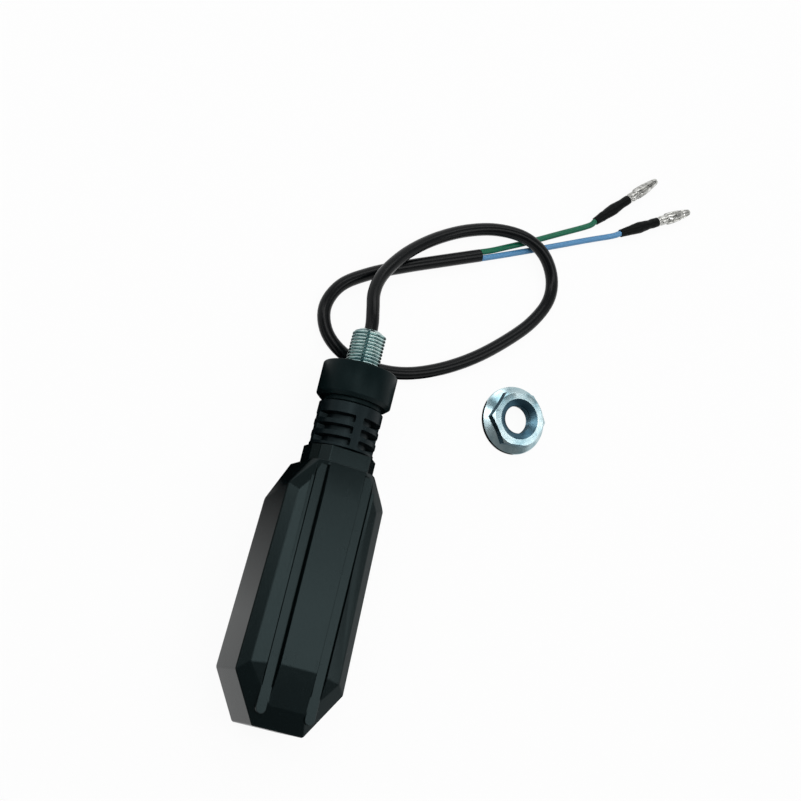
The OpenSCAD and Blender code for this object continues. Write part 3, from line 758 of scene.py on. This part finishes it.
def cord_curve(name, points, diameter, material):
    """A round cord through the points, lying on the floor at the lowest, and the line it follows."""
    data = bpy.data.curves.new(name, "CURVE")
    data.dimensions = "3D"
    data.bevel_depth = diameter / 2 * MM
    data.bevel_resolution = 5
    data.use_fill_caps = True
    line = smooth_points(points, CORD_STEPS)
    for at in line:
        at.z = max(at.z, (FLOOR_Z + diameter / 2) * MM)
    spline = data.splines.new("POLY")
    spline.points.add(len(line) - 1)
    for point, at in zip(spline.points, line):
        point.co = (at.x, at.y, at.z, 1.0)
    spline.use_smooth = True
    data.materials.append(material)
    return link(bpy.data.objects.new(name, data)), line


cable, cable_line = cord_curve("lead_cable", CABLE_ROUTE, CABLE_D - 0.04, M_CABLE)
green_wire, green_line = cord_curve("lead_wire_green", GREEN_ROUTE, WIRE_D - 0.02, M_GREEN)
blue_wire, blue_line = cord_curve("lead_wire_blue", BLUE_ROUTE, WIRE_D - 0.02, M_BLUE)


def heat_shrink(name, at, angle, seed):
    """A sleeve shrunk tight over the crimp: it follows the lumps beneath it."""
    rise = [(0.0, WIRE_D / 2 + 0.1), (0.12, WIRE_D / 2 + 0.34), (1.2, 1.36), (2.8, 1.5)]
    body = [
        (2.8 + i * (SHRINK_LEN - 3.4) / 30, 1.56 + 0.14 * math.sin(math.pi * i / 30))
        for i in range(1, 31)
    ]
    close = [(SHRINK_LEN - 0.2, 1.56), (SHRINK_LEN - 0.04, 1.44), (SHRINK_LEN, 1.3)]

    def lump(s, a):
        bulge = 0.1 * math.exp(-((s - 7.6) / 2.2) ** 2) - 0.06 * math.exp(-((s - 11.8) / 1.0) ** 2)
        wrinkle = 0.014 * math.sin(2.3 * s + seed) + 0.02 * math.sin(2 * a + 0.8 * s + seed)
        return (1 + bulge + wrinkle * min(1.0, s / 3.0)) * 0.98

    direction = beyond((0, 0), angle, 1, 0)
    bm = lathe(rise + body + close, (at[0], at[1], BULLET_LOW), direction, 40, lump)
    return smoothed(paint(object_in_mm(bm, name), M_SHRINK), 50)


def bullet(name, at, angle, turn, wide):
    """A crimped bullet terminal: crimp barrel, slit body, waist and tapered nose. turn and wide are
    the place and the half width of its slits, in radians."""
    r = BULLET_D / 2 - 0.02
    profile = [(SHRINK_LEN + s, radius) for s, radius in (
        (-0.6, 1.2), (0.5, 1.22), (0.75, 1.45), (1.0, 1.72), (1.3, 1.8), (2.2, 1.8), (2.45, 1.5),
        (3.4, 1.5), (3.7, r - 0.12), (3.9, r), (6.2, r), (8.6, r - 0.16), (9.1, 1.62), (9.8, 1.46),
        (10.4, 1.5), (11.4, 1.34), (12.4, 1.12), (13.1, 0.94), (13.35, 0.66), (13.45, 0.25),
    )]

    def slit(s, a):
        """Lengthwise slits in the body, and two folded wings on the crimp."""
        if s < SHRINK_LEN + 3.5:
            fold = abs(((a - math.pi / 2 + math.pi) % (2 * math.pi)) - math.pi)
            return 1 - 0.2 * max(0.0, 1 - fold / 0.22) - 0.13 * max(0.0, math.cos(2 * a)) ** 2
        off = abs(((a - turn) % (math.pi / 2)) - math.pi / 4)
        return 1 - 0.3 * min(1.0, 2 * max(0.0, 1 - (math.pi / 4 - off) / wide))

    fine = []
    for (s0, r0), (s1, r1) in zip(profile, profile[1:]):
        fine += [(s0, r0), ((s0 + s1) / 2, (r0 + r1) / 2)]
    direction = beyond((0, 0), angle, 1, 0)
    bm = lathe(fine + [profile[-1]], (at[0], at[1], BULLET_LOW), direction, 96, slit)
    return smoothed(paint(object_in_mm(bm, name), M_NICKEL), 35)


green_shrink = heat_shrink("shrink_sleeve_green", GREEN_END, GREEN_ANGLE, 0.4)
blue_shrink = heat_shrink("shrink_sleeve_blue", BLUE_END, BLUE_ANGLE, 2.1)
green_bullet = bullet("bullet_terminal_green", GREEN_END, GREEN_ANGLE, math.pi / 2, 0.34)
blue_bullet = bullet("bullet_terminal_blue", BLUE_END, BLUE_ANGLE, math.pi / 4, 0.2)


# ---- rear cover
def channel_cutter(side):
    """A channel's section, with lips that open at the top, drawn out along the lamp."""
    half, floor_half = CHANNEL_W / 2 - 0.06, CHANNEL_FLOOR_W / 2 + 0.1
    section = [
        (-floor_half, CHANNEL_FLOOR_Z), (floor_half, CHANNEL_FLOOR_Z), (half, CREST_Z),
        (half, CREST_Z + 2), (-half, CREST_Z + 2), (-half, CREST_Z),
    ]
    ends = (-ROOT_Y - 1.2, -END_Y - 3)
    bm = hull_bmesh([(side * CHANNEL_X + x, y, z) for x, z in section for y in ends])
    return object_in_mm(bm, "channel")


def corner_groove(side, edge):
    """The fine groove where a channel's floor meets its flank."""
    x = side * CHANNEL_X + edge * (CHANNEL_FLOOR_W / 2 + 0.1)
    top, bottom = CHANNEL_FLOOR_Z + 0.1, CHANNEL_FLOOR_Z - 0.6
    points = [
        (x - edge * w, y, z) for w, z in ((-0.03, top), (0.36, top), (0.0, bottom), (0.24, bottom))
        for y in (-ROOT_Y - 1.2, -BROW_Y + 5)
    ]
    return object_in_mm(hull_bmesh(points), "corner_groove")


def tongue(side):
    """The channel's floor where it stands proud of the end facets, with a round tip."""
    r = CHANNEL_FLOOR_W / 2 - 0.004
    half_turn = [math.pi + math.pi * k / 20 for k in range(21)]
    outline = [(r * math.cos(a), -TONGUE_TIP_Y + r + r * math.sin(a)) for a in half_turn]
    outline += [(r, -CREST_END_Y), (-r, -CREST_END_Y)]
    outline = [(side * CHANNEL_X + x, y) for x, y in outline]
    bm = hull_bmesh([(x, y, z) for x, y in outline for z in (PARTING_Z + 0.5, CHANNEL_FLOOR_Z - 0.004)])
    bevel(bm, 0.22, 3, 30, lambda m, e: m.z > CHANNEL_FLOOR_Z - 0.1 and m.y < -CREST_END_Y - 0.3)
    return object_in_mm(bm, "tongue")


def make_rear_cover():
    bm = hull_bmesh(crown_points(), 2.5)
    bevel(bm, 0.32, 3, 7)
    cover = object_in_mm(bm, "rear_cover_moulding")
    neck = hull_bmesh(neck_points(PARTING_Z, NECK_HEIGHT_HALF))
    bevel(neck, 0.25, 3, 20, lambda m, e: m.z > PARTING_Z + 0.2 and m.y > -PASSAGE_END_Y + 1)
    cover = boolean(cover, object_in_mm(neck, "neck_top"), "UNION")
    for side in (-1, 1):
        cover = boolean(cover, tongue(side), "UNION")
    inner = closed_behind_neck(hull_bmesh(crown_points(COVER_WALL)))
    for v in inner.verts:
        if v.co.z < PARTING_Z + 0.01:
            v.co.z -= 0.5
    cover = boolean(cover, object_in_mm(inner, "inside"))
    for side in (-1, 1):
        backing = hull_bmesh([
            (side * CHANNEL_X + sx * (CHANNEL_W / 2 + 0.5), y, z)
            for sx in (-1, 1) for y in (-CREST_END_Y - 1, -PASSAGE_END_Y + 1)
            for z in (CHANNEL_FLOOR_Z - 1.4, CHANNEL_FLOOR_Z + 0.2)
        ])
        cover = boolean(cover, object_in_mm(backing, "channel_back"), "UNION")
    for side in (-1, 1):
        cover = boolean(cover, channel_cutter(side))
        for edge in (-1, 1):
            cover = boolean(cover, corner_groove(side, edge))
    cover = boolean(cover, passage_cutter())
    cover.name = "rear_cover_moulding"
    return crisp(paint(cover, M_COVER), 24)


rear_cover = make_rear_cover()


# ---- front shell and lens
def make_front_shell():
    wall = prism(plan(0, SHOULDER_LEAN), FLOOR_Z + RIM_BEVEL, RIM_TOP, plan())
    rim = [(x, y, FLOOR_Z) for x, y in plan(RIM_BEVEL, SHOULDER_LEAN)]
    body = hull_bmesh(wall + rim, 1.0)
    bevel(body, 0.45, 4, 9)
    shell = object_in_mm(body, "front_shell_moulding")
    neck = hull_bmesh(neck_points(-NECK_HEIGHT_HALF, RIM_TOP))
    bevel(neck, 0.25, 3, 20, lambda m, e: m.z < RIM_TOP - 0.2 and m.y > -PASSAGE_END_Y + 1)
    shell = boolean(shell, object_in_mm(neck, "neck_bottom"), "UNION")
    hollows = [
        hull_bmesh(prism(plan(SHELL_WALL), FLOOR_Z - 1, LEDGE_Z)),
        hull_bmesh(prism(plan(SHELL_WALL + LEDGE_W), LEDGE_Z - 1, LEDGE_Z + LEDGE_T + 1)),
        closed_behind_neck(hull_bmesh(prism(plan(SHELL_WALL), LEDGE_Z + LEDGE_T, RIM_TOP + 1))),
    ]
    for hollow in hollows:
        shell = boolean(shell, object_in_mm(hollow, "hollow"))
    shell = boolean(shell, passage_cutter())
    shell.name = "front_shell_moulding"
    return crisp(paint(shell, M_SHELL), 24)


front_shell = make_front_shell()


def make_lens():
    bm = hull_bmesh(prism(plan(SHELL_WALL + 0.12), FLOOR_Z + 0.52, FLOOR_Z + 2.68))
    bevel(bm, 0.35, 3, 20)
    return crisp(paint(object_in_mm(bm, "smoked_lens_plate"), M_LENS), 40)


lens = make_lens()


# ---- collar, stem and stud
def make_collar():
    back = COLLAR_LEN - COLLAR_STEP
    edge, bevel_w = 0.3, 1.0
    profile = [
        (0.0, STUD_R + 0.12), (0.0, COLLAR_R - edge - 0.06), (0.05, COLLAR_R - edge + 0.1),
        (edge - 0.08, COLLAR_R - 0.05), (edge + 0.08, COLLAR_R), (back / 2, COLLAR_R - 0.03),
        (back - bevel_w - 0.15, COLLAR_R - 0.06), (back - bevel_w + 0.05, COLLAR_R - 0.1),
        (back - 0.15, COLLAR_R - bevel_w + 0.03), (back, COLLAR_R - bevel_w - 0.14),
        (back, STEM_R - 0.8), (COLLAR_LEN - 0.1, STEM_R - 0.8), (COLLAR_LEN, STEM_R - 0.95),
        (COLLAR_LEN, STUD_BORE_R + 2.2), (0.6, STUD_BORE_R + 2.2), (0.6, STUD_R + 0.12),
    ]
    bm = along_y(profile, even_angles(128))
    return smoothed(paint(object_in_mm(bm, "collar_moulding"), M_COLLAR), 30)


def thinned(marks, gap):
    """The marks in order, without those that come too close behind the last."""
    ordered = sorted(marks)
    kept = [ordered[0]]
    for mark in ordered[1:]:
        if mark - kept[-1] > gap:
            kept.append(mark)
    return kept


def slot_rings(y_from, y_to):
    """Distances along the sleeve, close together at the slots' edges."""
    marks = {round(y_from, 4), round(y_to, 4)}
    step = 0.34
    for i in range(int((y_to - y_from) / step) + 1):
        marks.add(round(y_from + i * step, 4))
    for row in range(SLOT_ROWS):
        for edge in (-1, 1):
            centre = SLOT_FIRST_Y + row * SLOT_PITCH + edge * SLOT_W / 2
            for off in (-0.3, -0.2, -0.13, -0.09, -0.05, 0.0, 0.05, 0.09, 0.14, 0.22):
                y = round(centre + edge * off, 4)
                if y_from < y < y_to:
                    marks.add(y)
    kept = thinned(marks, 0.025)
    kept[-1] = y_to
    return kept


def sleeve(name, outer, inner_r, angles):
    """A tube about the Y axis from (distance, radius) pairs on its outside and one radius inside."""
    first, last = outer[0][0], outer[-1][0]
    middle = [(last + (first - last) * i / 12, inner_r) for i in range(1, 12)]
    bm = along_y(outer + [(last, inner_r)] + middle + [(first, inner_r)], angles)
    return object_in_mm(bm, name)


def slot_angles():
    """Angles round the sleeve, close together at the slots' ends."""
    marks = set(round(a, 5) for a in even_angles(96))
    for quarter in range(4):
        for edge in (-1, 1):
            centre = math.radians(quarter * 90 + 45 + edge * SLOT_ANGLE / 2)
            for off in (-0.42, -0.3, -0.2, -0.13, -0.08, -0.04, 0.0, 0.04, 0.08, 0.13, 0.22):
                marks.add(round((centre + edge * off / STEM_R) % (2 * math.pi), 5))
    return thinned(marks, 0.0035)


def make_stem():
    angles = slot_angles()
    lip = 0.18
    front = [(STEM_START_Y, STEM_R - 0.5), (STEM_START_Y + 0.05, STEM_R - lip)] + [
        (y, STEM_R) for y in slot_rings(STEM_START_Y + 0.22, STEM_SPLIT_Y)]
    rear = [(y, STEM_R) for y in slot_rings(STEM_SPLIT_Y, STEM_END_Y - 0.22)] + [
        (STEM_END_Y - 0.05, STEM_R - lip), (STEM_END_Y, STEM_R - 0.5), (STEM_END_Y, TAIL_R)]
    rear += [(y, TAIL_R) for y in (26.0, 27.0, FLANGE_Y + 0.1)]
    rear += [
        (FLANGE_Y + 0.1, GROOVE_R - 0.1), (FLANGE_Y + 3.1, GROOVE_R - 0.1), (FLANGE_Y + 3.1, TAIL_R),
        (TAIL_END_Y, TAIL_R),
    ]
    pieces = []
    for name, outer in (("stem_sleeve_front", front), ("stem_sleeve_rear", rear)):
        slotted = shaped_by(sleeve(name, outer, STEM_BORE_R, angles), SLOTS)
        pieces.append(smoothed(paint(slotted, M_RUBBER), 38))
    return pieces


def make_stud():
    """The stud's thread, its chamfered end and the groove along it, with painted shade in the thread
    roots and the groove.
    """
    end = STUD_END_Y
    outer = [
        (-end, STUD_R - 1.65), (-end + 0.12, STUD_R - 1.5), (-end + 0.5, STUD_R - 1.0),
        (-end + 0.8, STUD_R - 0.5),
    ]
    steps = int((end - 1.0) / THREAD_STEP)
    outer += [(-end + 1.0 + (end - 1.2) * i / steps, STUD_R) for i in range(steps + 1)]
    outer += [(0.0, STUD_R - 0.4), (8.8, STUD_R - 0.4)]
    obj = sleeve("stud_thread", outer, STUD_BORE_R, even_angles(160))
    obj = shaped_by(obj, THREAD_Y, {
        "Pitch": THREAD_PITCH * MM, "Depth": THREAD_DEPTH * MM, "Radius": STUD_R * MM,
        "Reach": 0.35 * MM, "Middle": (end - 0.1) / 2 * MM, "End Taper": (end + 0.1) / 2 * MM,
        "Fade": 0.5 * MM,
    })
    turn = Matrix.Rotation(math.radians(STUD_GROOVE_TURN), 3, "Y")
    for v in obj.data.vertices:
        at = turn @ v.co
        across = at.x / MM / STUD_GROOVE_HALF
        floor = (STUD_R - 0.1 - STUD_GROOVE_DEPTH * (1 - across * across)) * MM
        if at.z > floor and abs(across) < 1 and at.y > 0:
            at.z = floor
            v.co = turn.inverted() @ at
    # faces sunk below the crests, in the thread roots and the groove, take the darker zinc: painted
    # shade in the hollows
    paint(obj, M_STUD).data.materials.append(M_THREAD_ROOT_SHADE)
    shade_from, shade_to = 0.8 * STUD_R, STUD_R - 0.66 * THREAD_DEPTH
    for face in obj.data.polygons:
        at = turn @ face.center
        if at.y > 0 and shade_from < math.hypot(at.x, at.z) / MM < shade_to:
            face.material_index = 1
    return smoothed(obj, 45)


collar = make_collar()
stem_front, stem_rear = make_stem()
stud = make_stud()


# ---- flange nut
NUT_PLACE = Matrix.Translation((NUT_AT[0] * MM, NUT_AT[1] * MM, FLOOR_Z * MM))
HEXAGON_TOP = NUT_H - 0.02


def turned_upright(name, profile):
    """A solid about the Z axis from (height, radius) pairs; lathe's line can't be quite vertical."""
    return object_in_mm(lathe(profile, (0, 0, 0), (0, 0.0001, 1), 128), name)


def make_nut():
    corner = NUT_AF / 2 / math.cos(math.radians(30))
    turns = [math.radians(NUT_TURN + 60 * k) for k in range(6)]
    hexagon = [(corner * math.cos(a), corner * math.sin(a)) for a in turns]
    block = hull_bmesh(prism(hexagon, 0.3, HEXAGON_TOP))
    bevel(block, 0.16, 2, 30, lambda m, e: abs(e.verts[0].co.z - e.verts[1].co.z) > 1)
    nut = object_in_mm(block, "nut_block")
    nut = boolean(nut, turned_upright("nut_chamfer", [
        (-1.0, 0.01), (-1.0, corner + 1.0), (HEXAGON_TOP - 0.9, corner + 1.0),
        (HEXAGON_TOP - 0.62, corner + 0.1), (HEXAGON_TOP - 0.09, corner - 0.86),
        (HEXAGON_TOP, corner - 1.06), (HEXAGON_TOP, 0.01),
    ]), "INTERSECT")
    nut = boolean(nut, turned_upright("nut_flange", [
        (0.02, 0.01), (0.02, NUT_FLANGE_R - 0.25), (0.12, NUT_FLANGE_R - 0.08),
        (0.35, NUT_FLANGE_R - 0.01), (1.05, NUT_FLANGE_R - 0.01), (1.3, NUT_FLANGE_R - 0.12),
        (1.42, NUT_FLANGE_R - 0.35), (2.2, NUT_AF / 2 + 0.6), (2.6, NUT_AF / 2 - 0.1), (2.6, 0.01),
    ]), "UNION")
    bore_r, mouth_r = NUT_HOLE_R + 0.6, NUT_HOLE_R + SINK_W
    nut = boolean(nut, turned_upright("nut_bore", [
        (-1, mouth_r), (0.04, mouth_r), (SINK_DEPTH + 0.1, bore_r), (NUT_H - SINK_DEPTH - 0.1, bore_r),
        (NUT_H - 0.04, mouth_r), (NUT_H + 1, mouth_r),
    ]))
    nut.name = "nut_body"
    # upright faces above the flange, the sides and the bore, take the darker zinc: painted shade, the
    # top staying bright
    paint(nut, M_ZINC).data.materials.append(M_SHADED_ZINC)
    for face in nut.data.polygons:
        if abs(face.normal.z) < 0.3 and face.center.z > NUT_FLANGE_TOP * MM:
            face.material_index = 1
    nut.data.transform(NUT_PLACE)
    return crisp(nut, 28)


def make_nut_thread():
    """The nut's threaded wall, with a countersink at each end."""
    mouth_r, throat_r, back_r = NUT_HOLE_R + SINK_W - 0.02, NUT_HOLE_R + 0.01, NUT_HOLE_R + 0.85
    wall = [(0.05, mouth_r), (SINK_DEPTH * 0.55, throat_r + SINK_W * 0.42)]
    steps = int((NUT_H - 2 * SINK_DEPTH) / THREAD_STEP)
    wall += [(SINK_DEPTH + (NUT_H - 2 * SINK_DEPTH) * i / steps, throat_r) for i in range(steps + 1)]
    wall += [(NUT_H - SINK_DEPTH * 0.55, throat_r + SINK_W * 0.42), (NUT_H - 0.05, mouth_r)]
    back = [
        (NUT_H - 0.12, mouth_r + 0.04), (NUT_H - SINK_DEPTH - 0.2, back_r), (SINK_DEPTH + 0.2, back_r),
        (0.12, mouth_r + 0.04),
    ]
    bm = bmesh.new()
    bridge(bm, [level_ring(bm, r, z, 112) for z, r in wall + back])
    obj = shaped_by(object_in_mm(bm, "nut_thread_wall"), THREAD_Z, {
        "Pitch": THREAD_PITCH * MM, "Depth": -0.42 * MM, "Radius": NUT_HOLE_R * MM,
        "Reach": 0.08 * MM, "Middle": NUT_H / 2 * MM,
        "End Taper": (NUT_H - 2 * SINK_DEPTH + 0.2) / 2 * MM, "Fade": 0.3 * MM,
    })
    obj.data.transform(NUT_PLACE)
    # the threaded wall takes the darker zinc: painted shade inside the bore
    return smoothed(paint(obj, M_SHADED_ZINC), 45)


nut = make_nut()
nut_thread = make_nut_thread()


# ---- parts inside the lamp keep their CAD shapes
CARRIED = {
    "reflector": M_REFLECTOR, "led_board": M_BOARD, "leds": M_AMBER, "resistors": M_CERAMIC,
    "board_screws": M_ZINC, "cable_grommet": M_RUBBER, "lens_seal": M_RUBBER, "stem_lead": M_CABLE,
    "board_leads": M_GREEN,
}
for node, material in CARRIED.items():
    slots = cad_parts[node].data.materials
    slots.clear()
    slots.append(material)

# ---- what rides on what, and what it stands for
PIECES = [
    (rear_cover, "lamp", "rear_cover", "cover_black"),
    (front_shell, "lamp", "front_shell", "shell_black"),
    (lens, "lamp", "lens", "smoked_lens"),
    (collar, "mount_end", "mounting_collar", "shell_black"),
    (stud, "mount_end", "threaded_stud", "zinc_steel"),
    (cable, "mount_end", "cable", "cable_sheath"),
    (green_wire, "mount_end", "wire_green", "wire_sleeve_green"),
    (blue_wire, "mount_end", "wire_blue", "wire_sleeve_blue"),
    (green_shrink, "mount_end", "heat_shrink_green", "heat_shrink_black"),
    (blue_shrink, "mount_end", "heat_shrink_blue", "heat_shrink_black"),
    (green_bullet, "mount_end", "bullet_green", "nickel"),
    (blue_bullet, "mount_end", "bullet_blue", "nickel"),
    (nut, "nut", "flange_nut", "zinc_steel"),
    (nut_thread, "nut", "flange_nut", "zinc_steel"),
]
for piece, body, node, slot_name in PIECES:
    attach(piece, body)
    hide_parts(node)
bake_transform(stem_front)
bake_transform(stem_rear)
for piece in (stem_front, stem_rear):
    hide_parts("flex_stem")


# ---- floor, lights and view settings
GLOW_SHARE = 0.94


def make_floor():
    """A pale floor that curves up into a low wall all round."""
    z = cad_box[0][2] - 0.0001
    flat, bend, wall = 2.4, 0.6, 3.0
    rise = [math.pi / 2 * k / 8 for k in range(1, 9)]
    profile = [(0.5, 0.0), (1.2, 0.0), (flat, 0.0)]
    profile += [(flat + bend * math.sin(a), bend - bend * math.cos(a)) for a in rise]
    profile += [(wall, 1.1), (wall, 1.5)]
    bm = bmesh.new()
    middle = bm.verts.new((0, 0, z))
    sides = 64
    rings = [level_ring(bm, r, z + h, sides) for r, h in profile]
    for k in range(sides):
        j = (k + 1) % sides
        bm.faces.new((middle, rings[0][k], rings[0][j]))
        for a, b in zip(rings, rings[1:]):
            bm.faces.new((a[k], b[k], b[j], a[j]))
    for face in bm.faces:
        face.smooth = True
    floor = object_in_metres(bm, "floor")
    material, n, shader = new_material("pale_floor")
    pale = n.mix(n.noise(Scale=12.0, Detail=3.0), (0.9, 0.9, 0.9, 1), (0.93, 0.93, 0.93, 1))
    n.feed(shader, {"Base Color": pale, "Roughness": 0.8, "Specular IOR Level": 0.1})
    glow = n.add("ShaderNodeEmission", {"Color": (1, 1, 1, 1), "Strength": 1.0})
    blend = n.add("ShaderNodeMixShader", {
        0: n.times(background_rays(n), GLOW_SHARE), 1: shader.outputs[0], 2: glow.outputs[0]})
    n.feed(material.node_tree.nodes["Material Output"], {"Surface": blend.outputs[0]})
    paint(floor, material)


def background_rays(n):
    """1 for the rays that see the background: from the camera, off gloss and through glass."""
    path = n.add("ShaderNodeLightPath")
    seen = n.math("MAXIMUM", path.outputs["Is Camera Ray"], path.outputs["Is Transmission Ray"])
    return n.math("MAXIMUM", seen, path.outputs["Is Glossy Ray"])


def make_flags():
    """Black cards flat on the floor that only reflections see: painted dark reflections, which darken
    what gloss and round metal mirror. They fade out towards the front."""
    z = cad_box[0][2] - 0.00005
    material, n, shader = new_material("painted_dark_reflection")
    y = n.add("ShaderNodeSeparateXYZ", {0: n.place()}).outputs[1]
    n.feed(shader, {
        "Base Color": (0.006, 0.007, 0.008, 1), "Specular IOR Level": 0.0,
        "Roughness": n.ranged({"Value": n.noise(Scale=400.0), "To Min": 0.9, "To Max": 1.0}),
        "Alpha": n.ranged({"Value": y, "From Min": -0.075, "From Max": -0.034}),
    })
    for name, x0, y0, x1, y1 in (
        ("flag_left", -0.12, -0.08, -0.002, 0.004), ("flag_right", 0.007, -0.034, 0.06, 0.008),
    ):
        bm = bmesh.new()
        bm.faces.new([bm.verts.new((x, y, z)) for x, y in ((x0, y0), (x1, y0), (x1, y1), (x0, y1))])
        flag = paint(object_in_metres(bm, name), material)
        # hidden from the camera, diffuse light, shadows and glass, so they act only as a painted dark
        # reflection
        flag.visible_camera = flag.visible_diffuse = False
        flag.visible_shadow = flag.visible_transmission = False


def make_lights():
    def area(name, at, size, radiance, target):
        """A softbox of the given brightness, a white sheet in full light being 1."""
        data = bpy.data.lights.new(name, "AREA")
        data.shape = "RECTANGLE"
        data.size, data.size_y = size
        data.energy = radiance * math.pi * size[0] * size[1]
        light = link(bpy.data.objects.new(name, data))
        light.location = at
        light.rotation_euler = (Vector(target) - Vector(at)).to_track_quat("-Z", "Y").to_euler()

    area("softbox_overhead", (0.45, -0.01, 0.9), (1.52, 0.28), 2.7, (0.45, -0.01, 0.0))
    area("softbox_rear_left", (-0.33, 0.28, 0.9), (0.3, 0.2), 3.2, (-0.33, 0.28, 0.0))
    area("softbox_rear_right", (0.6, 0.22, 0.9), (0.26, 0.14), 2.4, (0.6, 0.22, 0.0))
    area("softbox_rear_low", (0.0, 0.85, 0.75), (0.9, 0.3), 2.4, (0.0, 0.0, 0.0))
    area("strip_left", (-0.62, 0.18, 0.76), (0.2, 0.9), 2.5, (0.0, 0.0, 0.0))


def make_world():
    """Dim sky, brighter behind the object than in front of it."""
    world = bpy.data.worlds.new("studio")
    bpy.context.scene.world = world
    world.use_nodes = True
    n = Nodes(world.node_tree)
    y = n.add("ShaderNodeSeparateXYZ", {0: n.place("Generated")}).outputs[1]
    sky = n.ranged({"Value": y, "From Min": -1.0, "From Max": 1.0, "To Min": 0.15, "To Max": 0.5})
    n.feed(world.node_tree.nodes["Background"], {"Color": (1, 1, 1, 1), "Strength": sky})


make_floor()
make_flags()
make_lights()
make_world()
bpy.context.scene.view_settings.view_transform = "Standard"
